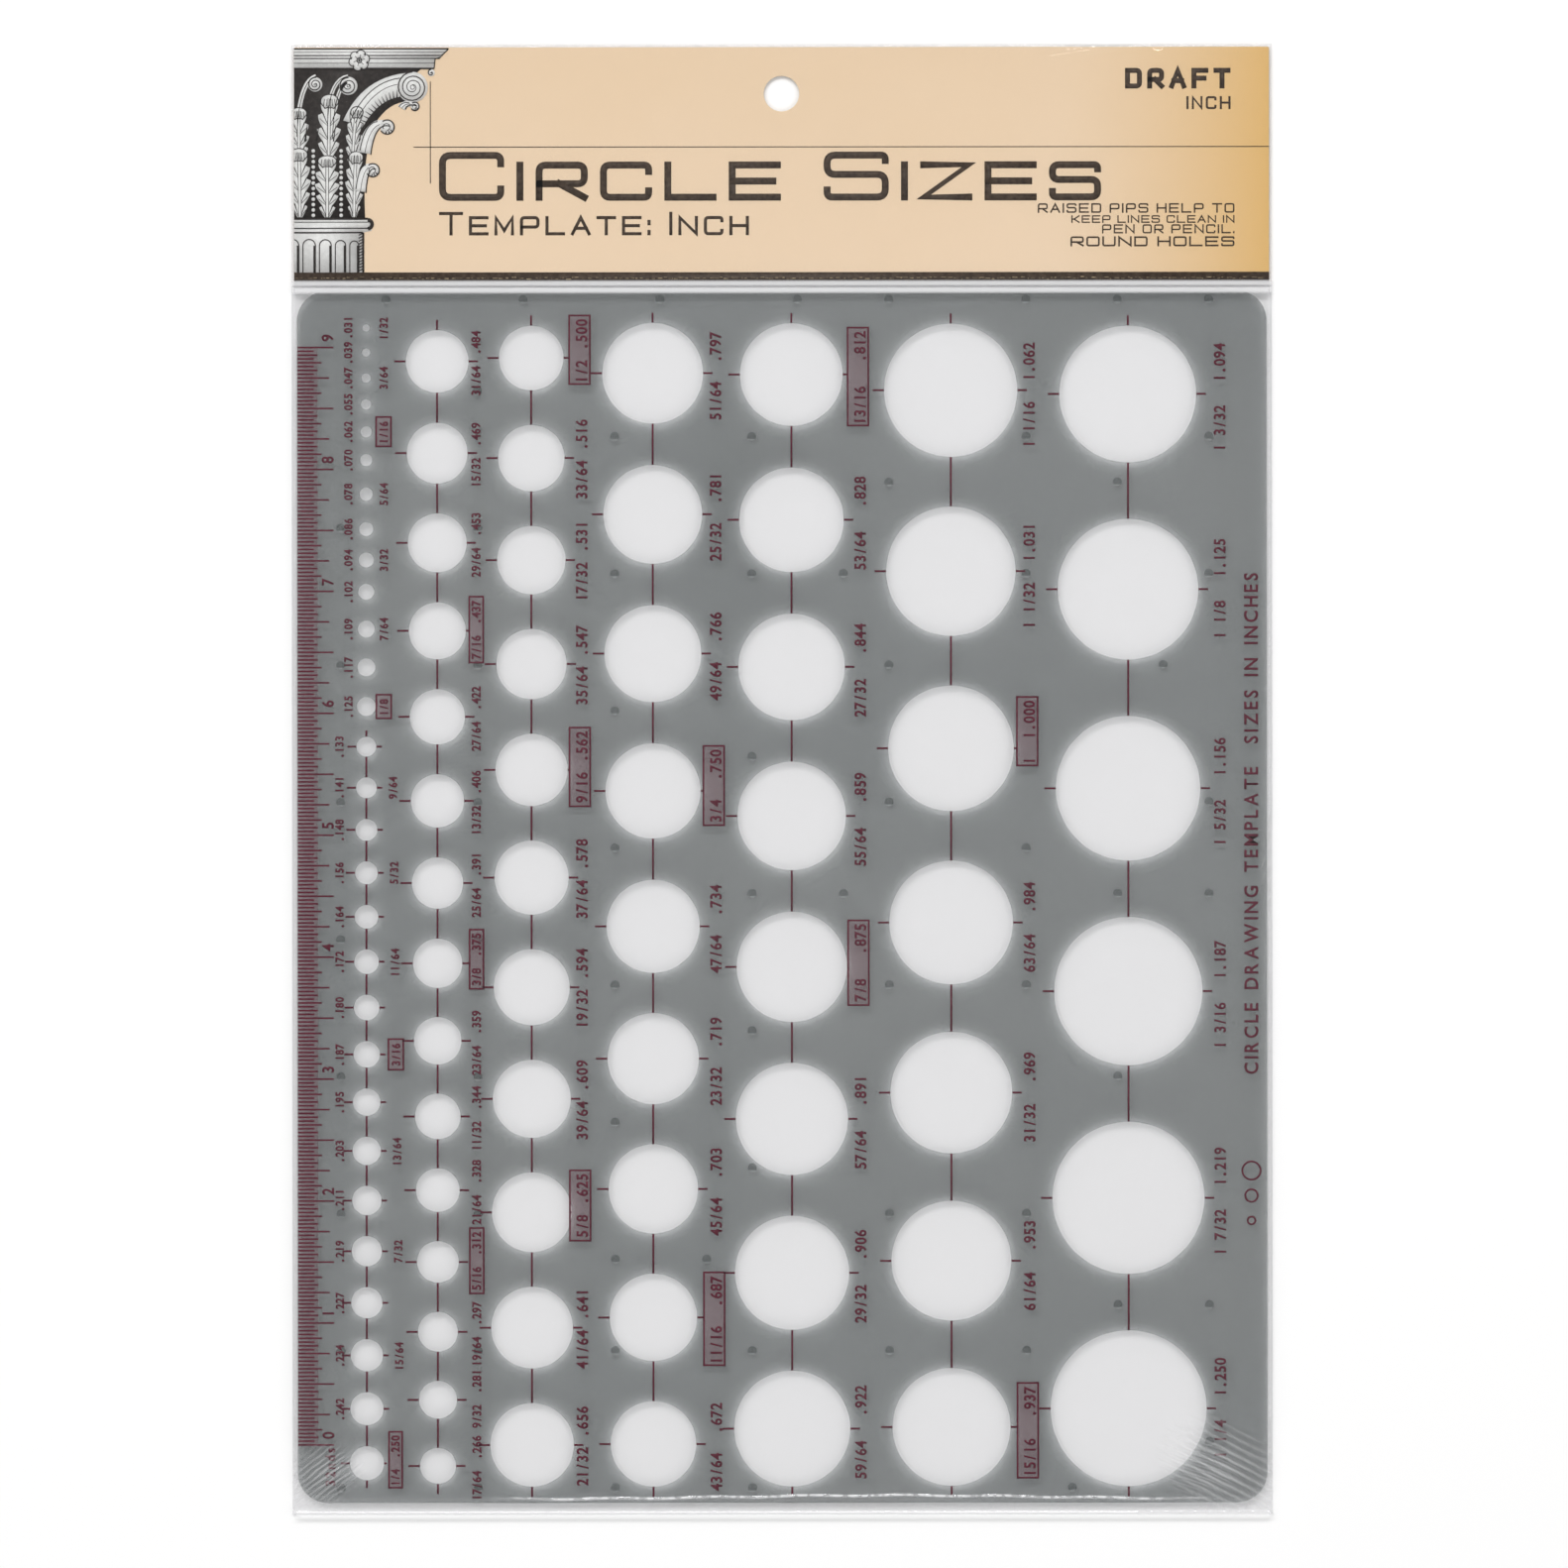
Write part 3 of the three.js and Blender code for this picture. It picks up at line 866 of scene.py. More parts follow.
SHEET_COVER = 0.335
RIM_COVER = 0.20
RIM_GLOW_REACH = 1.25
GLOW_RINGS = (0.55, 1.2, 2.1, 3.4)
SHEET_EDGE = 0.1
SHEET_DARK = (0.095, 0.105, 0.105)
SHEET_PALE = (0.135, 0.143, 0.140)
# A soft round patch where the sheet is darker: painted reflection.
PAINTED_REFLECTION_PATCH = (-8.5, 56.0)
PAINTED_REFLECTION_REACH = 26.0
PAINTED_REFLECTION_COVER = 0.035
UNEVEN_COVER = 0.016
SHEET_THROUGH = (0.985, 0.995, 0.995, 1)


def rim_glow(x, y):
    """How much light gathers at a spot: 1 at a hole's rim, and nothing a few millimetres off."""
    glow = 0.0
    for hole_x, hole_y, radius, _ in sheet_holes:
        away = math.dist((x, y), (hole_x, hole_y))
        gap = max(away - radius, 0.0)
        if gap < RIM_GLOW_REACH * 4:
            below = (hole_y - y) / max(away, 0.01)
            size = min(1.0, 0.55 + radius / 18)
            glow = max(glow, size * math.exp(-gap / (RIM_GLOW_REACH * (1 + 0.25 * below))))
    return glow


def tinted_sheet_material():
    """Smoke tint: part of the light goes through each face, the rest meets a dark matte skin.

    More light comes through close to the holes, and one soft patch is darker: a painted reflection in the
    sheet's face."""
    material, tree = node_tree("smoke_tinted_sheet")
    through = add_node(tree, "ShaderNodeBsdfTransparent", Color=SHEET_THROUGH)
    cloud = spread_to(tree, noise(tree, 12.0, 2.0), -0.5, 0.5, 0.3, 0.7)
    tone = mixed_colour(tree, math_node(tree, "ADD", cloud, 0.5), SHEET_DARK, SHEET_PALE)
    skin = add_node(tree, "ShaderNodeBsdfPrincipled", Base_Color=tone, Roughness=0.5)
    # Painted reflection: more cover in a soft round patch, fading out at its reach.
    centred = add_node(
        tree, "ShaderNodeMapping", Vector=object_place(tree), Scale=[1 / (PAINTED_REFLECTION_REACH * MM)] * 3,
        Location=[-c / PAINTED_REFLECTION_REACH for c in (*PAINTED_REFLECTION_PATCH, 0)],
    )
    ball = add_node(tree, "ShaderNodeTexGradient", Vector=centred.outputs[0])
    ball.gradient_type = "SPHERICAL"
    shade = math_node(tree, "MULTIPLY", ball.outputs["Fac"], PAINTED_REFLECTION_COVER)
    uneven = math_node(tree, "MULTIPLY", cloud, UNEVEN_COVER)
    lit = spread_to(tree, attribute_value(tree, "rim_glow"), SHEET_COVER, RIM_COVER)
    cover = math_node(tree, "ADD", math_node(tree, "ADD", lit, uneven), shade)
    return finished(material, mixed_shader(tree, cover, through, skin))


def points_round_holes():
    points = []
    for x, y, radius, sides in sheet_holes:
        for gap in GLOW_RINGS:
            points += [
                p for p in ring(x, y, radius + gap, sides // 2)
                if sheet_low[0] + 0.6 < p[0] < sheet_high[0] - 0.6
                and all(math.dist(p, h[:2]) > h[2] + 0.5 for h in sheet_holes)
            ]
    return points


template_sheet = plate(
    "template_sheet_smoke",
    rounded_outline(sheet_low, sheet_high, INCH / 4, 16),
    sheet_holes, sheet_under, sheet_high[2], SHEET_EDGE, tinted_sheet_material(), points_round_holes(),
)
glow_data = template_sheet.data.attributes.new("rim_glow", "FLOAT", "POINT")
for spot, item in zip(template_sheet.data.vertices, glow_data.data):
    item.value = rim_glow(spot.co.x / MM, spot.co.y / MM)
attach(template_sheet, "template")
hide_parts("template_sheet")


# ---------------------------------------------------------------------------------------------
# Pips: low round bumps moulded under the sheet, on a 3/8 inch grid wherever the holes leave
# room. They keep the sheet off wet ink, and show through it as dark spots with a pale edge.
# ---------------------------------------------------------------------------------------------

PIP_PITCH = INCH * 3 / 8
PIP_GRID = (-92.0, 100.0)
PIP_RADIUS = 0.95
# Pip colours: dark, partly from the thicker plastic and partly painted shade over the top, and pale at
# the lower edge as a painted highlight.
PIP_DARKS_AND_SHADE = ((0.020, 0.024, 0.026), (0.045, 0.05, 0.052))
PIP_PAINTED_HIGHLIGHT = (0.85, 0.86, 0.86)
PIP_COVERS = (0.55, 0.28)
CRESCENT_EDGE = (-0.70, -0.30)
PIP_ROWS = {
    0: [1, 4, 7, 10, 12, 15, 17, 19], 2: [3], 3: [6, 9, 15, 19], 4: [12, 17], 5: [0, 3],
    6: [6, 9, 11, 15, 19], 8: [0, 3, 12, 18], 9: [6], 10: [9], 11: [0, 3, 12, 19], 12: [6, 15],
    13: [9, 11, 17, 19], 14: [0, 3], 15: [6, 12, 15], 16: [9], 17: [0, 3, 17], 18: [6], 19: [9],
    20: [0, 3, 12, 15], 21: [6, 8], 22: [17, 19], 23: [0, 3, 6, 9, 12, 15], 25: [19],
    26: [0, 3, 6, 9, 16],
}


def geometry_tree(name, sizes):
    """A new geometry node tree with one named float input for each size."""
    tree = bpy.data.node_groups.new(name, "GeometryNodeTree")
    tree.interface.new_socket("Geometry", in_out="INPUT", socket_type="NodeSocketGeometry")
    tree.interface.new_socket("Geometry", in_out="OUTPUT", socket_type="NodeSocketGeometry")
    for label in sizes:
        kind = "NodeSocketInt" if isinstance(sizes[label], int) else "NodeSocketFloat"
        tree.interface.new_socket(label, in_out="INPUT", socket_type=kind)
    return tree, tree.nodes.new("NodeGroupInput"), tree.nodes.new("NodeGroupOutput")


def end_tree(tree, geometry, material, out):
    real = add_node(tree, "GeometryNodeRealizeInstances", Geometry=geometry)
    paint = add_node(tree, "GeometryNodeSetMaterial", Geometry=real.outputs[0], Material=material)
    tree.links.new(paint.outputs[0], out.inputs[0])


def grown(name, tree, sizes, points_mm, body):
    """Runs a tree on loose points and keeps the result as a plain mesh that rides on a body."""
    seed = bpy.data.meshes.new(name + "_points")
    seed.from_pydata([Vector(p) * MM for p in points_mm], [], [])
    holder = bpy.data.objects.new(name + "_points", seed)
    bpy.context.scene.collection.objects.link(holder)
    modifier = holder.modifiers.new("grow", "NODES")
    modifier.node_group = tree
    for item in tree.interface.items_tree:
        if item.in_out == "INPUT" and item.name in sizes:
            modifier[item.identifier] = sizes[item.name]
    bpy.context.view_layer.update()
    evaluated = holder.evaluated_get(bpy.context.evaluated_depsgraph_get())
    mesh = bpy.data.meshes.new_from_object(evaluated)
    mesh.name = name
    holder.modifiers.remove(modifier)
    bpy.data.objects.remove(holder)
    piece = bpy.data.objects.new(name, mesh)
    bpy.context.scene.collection.objects.link(piece)
    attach(piece, body)
    return piece


def pip_material():
    """The sheet's plastic, thicker at the pip and so darker, with painted shade over its top and a
    painted highlight as a pale crescent at its lower edge.
    """
    material, tree = node_tree("smoke_pips")
    # Painted shade and highlight: dark over the top of the pip, pale at its lower edge, as if lit from
    # above.
    dark = spread_to(tree, attribute_value(tree, "up_the_pip"), 0.0, 1.0, *CRESCENT_EDGE)
    deep = mixed_colour(tree, noise(tree, 700.0, 1.0), *PIP_DARKS_AND_SHADE)
    through = add_node(tree, "ShaderNodeBsdfTransparent", Color=SHEET_THROUGH)
    tone = mixed_colour(tree, dark, PIP_PAINTED_HIGHLIGHT, deep)
    skin = add_node(tree, "ShaderNodeBsdfPrincipled", Base_Color=tone, Roughness=0.35)
    return finished(material, mixed_shader(tree, spread_to(tree, dark, *PIP_COVERS), through, skin))


def pip_tree(material, sizes):
    tree, entry, out = geometry_tree("pips", sizes)
    dome = add_node(tree, "GeometryNodeMeshUVSphere", Segments=16, Rings=8, Radius=1.0)
    where = tree.nodes.new("GeometryNodeInputPosition")
    parts = add_node(tree, "ShaderNodeSeparateXYZ", Vector=where.outputs[0])
    store = add_node(
        tree, "GeometryNodeStoreNamedAttribute", Geometry=dome.outputs["Mesh"], Name="up_the_pip",
        Value=parts.outputs["Y"],
    )
    smooth = add_node(tree, "GeometryNodeSetShadeSmooth", Geometry=store.outputs["Geometry"])
    radius, height = entry.outputs["Radius"], entry.outputs["Height"]
    shape = add_node(tree, "ShaderNodeCombineXYZ", X=radius, Y=radius, Z=height)
    spread = add_node(
        tree, "GeometryNodeInstanceOnPoints", Points=entry.outputs["Geometry"],
        Instance=smooth.outputs["Geometry"], Scale=shape.outputs[0],
    )
    end_tree(tree, spread.outputs[0], material, out)
    return tree


pip_height = sheet_under - sheet_low[2]
pip_sizes = {"Radius": PIP_RADIUS * MM, "Height": pip_height * MM}
pip_points = [
    (PIP_GRID[0] + column * PIP_PITCH, PIP_GRID[1] - row * PIP_PITCH, sheet_under)
    for row, columns in PIP_ROWS.items() for column in columns
]
grown(
    "sheet_pips", pip_tree(pip_material(), pip_sizes), pip_sizes, pip_points, "template"
)


# ---------------------------------------------------------------------------------------------
# Edge scale: nine inches in 32nds, screen printed in maroon ink along the sheet's left edge,
# with a tick for every 32nd and longer ones for 16ths, 8ths, quarters, halves and inches.
# ---------------------------------------------------------------------------------------------

INK_MAROON = (0.088, 0.009, 0.023)
INK_MAROON_WORN = (0.125, 0.019, 0.036)
SCALE_ZERO_Y = -138.6
SCALE_INCHES = 9
TICK_WIDTH = 0.36
tint_z = sheet_high[2] + 0.001
ink_z = sheet_high[2] + 0.014
maroon = ink_material("maroon_ink", INK_MAROON, INK_MAROON_WORN, 0.5)
TICK_STEPS = {"Every 2nd": 2, "Every 4th": 4, "Every 8th": 8, "Every 16th": 16}
scale_sizes = {
    "Plain tick": 3.4 * MM, "Every 2nd": 4.2 * MM, "Every 4th": 5.0 * MM, "Every 8th": 6.6 * MM,
    "Every 16th": 7.5 * MM, "Pitch": INCH / 32 * MM, "Width": TICK_WIDTH * MM,
    "Thickness": INK_THICKNESS * MM, "Count": SCALE_INCHES * 32 + 1,
}


def scale_tree(material, sizes):
    tree, entry, out = geometry_tree("edge_scale", sizes)
    step = add_node(tree, "ShaderNodeCombineXYZ", Y=entry.outputs["Pitch"])
    row = add_node(tree, "GeometryNodeMeshLine", Count=entry.outputs["Count"], Offset=step.outputs[0])
    row.mode = "OFFSET"
    start = entry.outputs["Geometry"]
    rows = add_node(tree, "GeometryNodeInstanceOnPoints", Points=start, Instance=row.outputs["Mesh"])
    places = add_node(tree, "GeometryNodeRealizeInstances", Geometry=rows.outputs[0])
    index = tree.nodes.new("GeometryNodeInputIndex")
    length = entry.outputs["Plain tick"]
    for label, every in TICK_STEPS.items():
        remainder = math_node(tree, "MODULO", index.outputs[0], every)
        whole = math_node(tree, "LESS_THAN", remainder, 0.5)
        pick = tree.nodes.new("GeometryNodeSwitch")
        pick.input_type = "FLOAT"
        feed(tree, pick.inputs["Switch"], whole)
        feed(tree, pick.inputs["False"], length)
        feed(tree, pick.inputs["True"], entry.outputs[label])
        length = pick.outputs[0]
    bar = tree.nodes.new("GeometryNodeMeshCube")
    from_end = add_node(
        tree, "GeometryNodeTransform", Geometry=bar.outputs["Mesh"], Translation=(0.5, 0.0, 0.0)
    )
    width, thickness = entry.outputs["Width"], entry.outputs["Thickness"]
    size = add_node(tree, "ShaderNodeCombineXYZ", X=length, Y=width, Z=thickness)
    ticks = add_node(
        tree, "GeometryNodeInstanceOnPoints", Points=places.outputs[0],
        Instance=from_end.outputs["Geometry"], Scale=size.outputs[0],
    )
    end_tree(tree, ticks.outputs[0], material, out)
    return tree


SCALE_INSET = 0.12
grown(
    "scale_ticks", scale_tree(maroon, scale_sizes), scale_sizes,
    [(sheet_low[0] + SCALE_INSET, SCALE_ZERO_Y, ink_z + INK_THICKNESS / 2)], "template",
)


# ---------------------------------------------------------------------------------------------
# Sizes and centre lines: maroon print on the sheet's face. Each hole has cross ticks and a line
# to the next one, its size as a fraction and a decimal, and a box round the sixteenths.
# ---------------------------------------------------------------------------------------------

LINE = 0.42
INK_SPREAD = 0.085
DOT_SPREAD = 0.15
GLYPH_SQUEEZE = 0.9
marks = Print(ink_z)
labels = Print(ink_z)
tints = Print(tint_z)


def glyph_mesh(text, growth):
    """The text's flat outline in the built-in face, thickened, as points and faces at size 1."""
    curve = bpy.data.curves.new("lettering", "FONT")
    curve.body = text
    curve.resolution_u = 3
    curve.offset = growth
    holder = bpy.data.objects.new("lettering", curve)
    bpy.context.scene.collection.objects.link(holder)
    bpy.context.view_layer.update()
    mesh = bpy.data.meshes.new_from_object(holder.evaluated_get(bpy.context.evaluated_depsgraph_get()))
    points = [(v.co.x, v.co.y) for v in mesh.vertices]
    faces = [tuple(p.vertices) for p in mesh.polygons]
    bpy.data.objects.remove(holder)
    bpy.data.curves.remove(curve)
    bpy.data.meshes.remove(mesh)
    return points, faces


glyphs = {}
cap_height = max(p[1] for p in glyph_mesh("H", 0.0)[0])
WORD_GAP = 0.75
LEGEND_GAP = 0.3


def glyph(letter, height):
    """A letter's points, faces and width at a height, with its strokes spread as ink spreads."""
    if (letter, height) not in glyphs:
        scale = height / cap_height
        points, faces = glyph_mesh(letter, (DOT_SPREAD if letter == "." else INK_SPREAD) / scale)
        left = min(p[0] for p in points)
        right = max(p[0] for p in points)
        across = scale * GLYPH_SQUEEZE
        placed = [((x - left) * across, y * scale) for x, y in points]
        glyphs[letter, height] = (placed, faces, (right - left) * across)
    return glyphs[letter, height]


def letter_starts(text, height, cell):
    """Where each letter starts along its line, counted from the first.

    With a cell they are centred in equal cells; without one they follow each other closely."""
    starts = []
    along = 0.0
    for i, letter in enumerate(text):
        width = 0.0 if letter == " " else glyph(letter, height)[2]
        starts.append(i * cell - width / 2 if cell else along)
        along += height * (WORD_GAP if letter == " " else LEGEND_GAP) + width
    return [start - starts[0] for start in starts]


def text_length(text, height, cell):
    return letter_starts(text, height, cell)[-1] + glyph(text[-1], height)[2]


def upright_label(layer, text, x, y, height, cell, anchor="middle"):
    """Text turned to read upwards. x is its middle across; y is its middle, start or end along."""
    length = text_length(text, height, cell)
    first = {"middle": y - length / 2, "start": y, "end": y - length}[anchor]
    for letter, start in zip(text, letter_starts(text, height, cell)):
        if letter != " ":
            points, faces, _ = glyph(letter, height)
            layer.shape([(x + height / 2 - py, first + start + px) for px, py in points], faces)


def fraction_text(size, parts):
    whole, rest = divmod(size, parts)
    if rest == 0:
        return str(whole)
    share = math.gcd(rest, parts)
    return (f"{whole} " if whole else "") + f"{rest // share}/{parts // share}"


def decimal_text(inches):
    """Three places, with an exact half rounded down, and no leading nought."""
    thousandths = math.ceil(inches * 1000 - 0.5)
    return f"{thousandths / 1000:.3f}".lstrip("0")


def boxed(size, parts):
    """Sixteenths of an inch, up to one inch, are boxed."""
    return size * 16 % parts == 0 and size <= parts


BOX_LINE = 0.38
BOX_MARGIN = 0.75
LEFT_TICK = 2.4
RIGHT_TICK = 2.0
STUB = 2.1


def box_round(left, right, low, high):
    corners = box_corners(left, right, low, high)
    marks.line(corners, BOX_LINE, closed=True)
    tints.polygon(corners)


def cross_lines(x, holes, i, left_tick, right_tick, top_stub, end_stub):
    """A hole's cross ticks, and its centre line down to the next hole or to a stub under the last.

    A first hole, given a top stub, has one above it too."""
    y, nominal, _ = holes[i]
    radius = hole_radius(nominal)
    marks.line([(x - radius - left_tick, y), (x - radius, y)], LINE)
    marks.line([(x + radius, y), (x + radius + right_tick, y)], LINE)
    if top_stub:
        marks.line([(x, y + radius), (x, y + radius + top_stub)], LINE)
    end = y - radius - end_stub
    if i + 1 < len(holes):
        next_y, next_nominal, _ = holes[i + 1]
        end = next_y + hole_radius(next_nominal)
    marks.line([(x, y - radius), (x, end)], LINE)


def side_label(column, y, size):
    """The fraction and the decimal to the right of a hole, boxed if it is a sixteenth."""
    tall = column["text"]
    x = column["x"] + column["label"]
    fraction = fraction_text(size, column["parts"])
    decimal = decimal_text(size / column["parts"])
    rise = column["rise"]
    drop = column["drop"]
    cell = column["cell"]
    upright_label(labels, decimal, x, y + rise, tall, cell, "start")
    upright_label(labels, fraction, x, y - drop, tall, cell, "end")
    if boxed(size, column["parts"]):
        low = y - drop - text_length(fraction, tall, cell) - BOX_MARGIN
        high = y + rise + text_length(decimal, tall, cell) + BOX_MARGIN
        left = x - tall / 2 - (0.55 if tall < 2 else 1.45)
        box_round(left, x + tall / 2 + 0.6, low, high)
        return x - left
    return None


def print_column(column):
    holes = column_holes(column)
    for i, (y, nominal, size) in enumerate(holes):
        box_half = side_label(column, y, size)
        reach = RIGHT_TICK
        if box_half is not None:
            reach = min(RIGHT_TICK, column["label"] - box_half - hole_radius(nominal))
        cross_lines(column["x"], holes, i, LEFT_TICK, reach, STUB if i == 0 else 0, STUB)


# The first column's own spacings. Its smallest holes, up to the limit, have no ticks.
SMALL_HOLE_LIMIT = 16
SMALL_LABEL_OFF = 3.7
TICKED_LEFT_OFF = 5.6
TICKED_RIGHT_OFF = 3.4
SMALL_LEFT_TICK = 1.9
SMALL_RIGHT_TICK = 1.2
SMALL_TOP_STUB = 1.3
SMALL_END_STUB = 1.6


def print_small_column(column):
    """The first column: decimals at the left of the holes, and fractions at the right."""
    holes = column_holes(column)
    x = column["x"]
    tall = column["text"]
    cell = column["cell"]
    for i, (y, nominal, size) in enumerate(holes):
        radius = hole_radius(nominal)
        ticked = size > SMALL_HOLE_LIMIT
        last = size == holes[-1][2]
        if last:
            side_label(dict(column, label=radius + 2.4), y, size)
        else:
            decimal = decimal_text(size / column["parts"])
            off = TICKED_LEFT_OFF if ticked else SMALL_LABEL_OFF
            upright_label(labels, decimal, x - off, y, tall, cell)
        if size % 2 == 0 and not last:
            fraction = fraction_text(size, column["parts"])
            right = x + (TICKED_RIGHT_OFF + radius if ticked else SMALL_LABEL_OFF)
            upright_label(labels, fraction, right, y, tall, cell)
            if boxed(size, column["parts"]):
                half = text_length(fraction, tall, cell) / 2 + 0.9
                box_round(right - 1.6, right + 1.5, y - half, y + half)
        if ticked:
            right_tick = SMALL_RIGHT_TICK / 2 if last else SMALL_RIGHT_TICK
            top_stub = SMALL_TOP_STUB if size == SMALL_HOLE_LIMIT + 1 else 0
            cross_lines(x, holes, i, SMALL_LEFT_TICK, right_tick, top_stub, SMALL_END_STUB)


print_small_column(COLUMNS[0])
for column in COLUMNS[1:]:
    print_column(column)
for inch in range(SCALE_INCHES + 1):
    upright_label(labels, str(inch), -94.6, SCALE_ZERO_Y + inch * INCH + 2.0, 2.3, None)
upright_label(labels, "32nds", -94.2, SCALE_ZERO_Y - 0.7, 1.9, None, "end")
LEGEND_X = 97.7
upright_label(labels, "CIRCLE DRAWING TEMPLATE  SIZES IN INCHES", LEGEND_X, -9.3, 2.75, None)
for i, radius in enumerate((0.8, 1.3, 1.9)):
    marks.line(ring(LEGEND_X, -92.0 + i * 5.2, radius, 32), 0.4, closed=True)
scale_top = SCALE_ZERO_Y + SCALE_INCHES * INCH
tints.polygon(box_corners(sheet_low[0] + SCALE_INSET, sheet_low[0] + 4.3, SCALE_ZERO_Y, scale_top))


TINT_COLOURS = ((0.36, 0.14, 0.19), (0.42, 0.20, 0.24))
TINT_COVER = 0.13


def thin_ink_material():
    """A faint maroon tint over the scale and in the boxes, too thin to hide the plastic under it."""
    material, tree = node_tree("faint_maroon_tint")
    through = tree.nodes.new("ShaderNodeBsdfTransparent")
    tone = mixed_colour(tree, noise(tree, 900.0, 1.0), *TINT_COLOURS)
    stain = add_node(tree, "ShaderNodeBsdfDiffuse", Color=tone)
    return finished(material, mixed_shader(tree, TINT_COVER, through, stain))


marks.finish("sheet_marks", maroon, "template", "template_ink")
labels.finish("sheet_labels", maroon, "template", "template_ink")
tints.finish("sheet_tints", thin_ink_material(), "template", "template_ink")


# ---------------------------------------------------------------------------------------------
# Front film: the sleeve's front web, the same film as the back. It lies over the card and the
# sheet, dips to the frosted weld between them and to the side welds, and is creased at the mouth.
# ---------------------------------------------------------------------------------------------

OVER_SHEET_GAP = 0.1
OVER_CARD_GAP = 0.3
front_low = box_mm("sleeve_front_film")[0]
over_sheet = sheet_high[2] + OVER_SHEET_GAP
over_card = card_high[2] + OVER_CARD_GAP
weld_z = front_low[2]
SHOULDER = sheet_high[0] + 0.35
WELD_START = SHOULDER + 0.35
CARD_SHOULDER = sleeve_high[0] - 0.3
weld_low = sheet_high[1] + 0.65
weld_high = card_low[1] - 0.45
mouth = sleeve_low[1]


def smooth_step(value, start, end):
    t = min(max((value - start) / (end - start), 0.0), 1.0)
    return t * t * (3 - 2 * t)


def ridge(distance, width):
    return math.exp(-((distance / width) ** 2))


CREASE_ABOVE_MOUTH = 3.7
CREASE_HEIGHT = 0.13
CREASE_WIDTH = 0.24
LIP_ABOVE_MOUTH = 0.42
LIP_HEIGHT = 0.14
LIP_WIDTH = 0.22
CREASE_WAVES = [(0.35, 0.045, 0.6), (0.12, 0.31, 0.0)]
CREASE_LEFT = (-62.0, -46.0)
CREASE_RIGHT = (92.0, 70.0)


def crease_y(x):
    waves = sum(size * math.sin(x * pace + start) for size, pace, start in CREASE_WAVES)
    return mouth + CREASE_ABOVE_MOUTH + waves


def ripples(x, y, centre, reach, angle, pitch, height):
    """Fine parallel wrinkles inside a soft round patch."""
    away = math.hypot((x - centre[0]) / reach[0], (y - centre[1]) / reach[1])
    if away > 1:
        return 0.0
    turn = math.radians(angle)
    across = -x * math.sin(turn) + y * math.cos(turn)
    along = x * math.cos(turn) + y * math.sin(turn)
    wave = 0.5 + 0.5 * math.sin(2 * math.pi * (across + 0.25 * math.sin(along * 0.35)) / pitch)
    return height * wave * (1 - away * away) ** 1.5


RIPPLES = [
    dict(centre=(-92.5, -144.0), reach=(9.0, 7.0), angle=37, pitch=1.45, height=0.19),
    dict(centre=(88.0, -143.5), reach=(14.0, 9.5), angle=-23, pitch=1.35, height=0.19),
    dict(centre=(100.0, -18.0), reach=(1.3, 9.0), angle=70, pitch=1.3, height=0.12),
]
SCRATCHES = [
    ((54.0, 150.3), (67.0, 152.2), 0.05), ((60.0, 150.6), (71.0, 152.0), 0.04),
    ((70.0, 150.2), (79.0, 151.1), 0.03),
]


def scratch_height(x, y):
    total = 0.0
    for (ax, ay), (bx, by), height in SCRATCHES:
        long = math.hypot(bx - ax, by - ay)
        t = ((x - ax) * (bx - ax) + (y - ay) * (by - ay)) / long ** 2
        if -0.1 < t < 1.1:
            off = abs((x - ax) * (by - ay) - (y - ay) * (bx - ax)) / long
            total += height * ridge(off, 0.16) * smooth_step(t, -0.1, 0.2) * smooth_step(t, 1.1, 0.8)
    return total


def front_height(x, y):
    side = abs(x)
    if y > weld_high:
        low = smooth_step(y, weld_high, weld_high + 0.3)
        high = smooth_step(y, sleeve_high[1] - 0.1, sleeve_high[1] - 0.4)
        edge = smooth_step(side, CARD_SHOULDER + 0.15, CARD_SHOULDER - 0.1)
        lift = (over_card - weld_z) + scratch_height(x, y)
        return weld_z + lift * low * high * edge
    rise = smooth_step(y, weld_low, weld_low - 0.35)
    edge = smooth_step(side, WELD_START, SHOULDER)
    lift = over_sheet - weld_z
    if y < mouth + 20:
        ends = smooth_step(x, *CREASE_LEFT) * smooth_step(x, *CREASE_RIGHT)
        crease = ridge(y - crease_y(x), CREASE_WIDTH) * (0.88 + 0.12 * math.sin(x * 0.9))
        lift += CREASE_HEIGHT * crease * ends
    lift += LIP_HEIGHT * ridge(y - mouth - LIP_ABOVE_MOUTH, LIP_WIDTH)
    for patch in RIPPLES:
        lift += ripples(x, y, **patch)
    return weld_z + lift * rise * edge


side_stations = [SHOULDER + off for off in (-0.3, -0.1, 0.0, 0.12, 0.24)]
side_stations += [WELD_START, CARD_SHOULDER, sleeve_high[0]]
front_xs = [-s for s in reversed(side_stations)] + steps(-98.0, 98.0, 3.0) + side_stations
front_points = grid(front_xs, steps(mouth + 6.0, weld_low - 1.0, 3.5))
front_points += grid(front_xs, steps(mouth, mouth + 1.2, 0.06))
front_points += grid(front_xs, [weld_low - 0.35 + 0.07 * i for i in range(6)])
front_points += grid(front_xs, [weld_high + 0.06 * i for i in range(6)])
front_points += grid(front_xs, steps(card_low[1] + 0.5, sleeve_high[1] - 4.0, 3.5))
front_points += grid(front_xs, [sleeve_high[1] - h for h in (0.0, 0.1, 0.15, 0.2, 0.27, 0.35, 0.6)])
for x in steps(-54.0, 88.0, 0.9):
    front_points += [(x, crease_y(x) + 0.08 * i) for i in range(-9, 10)]
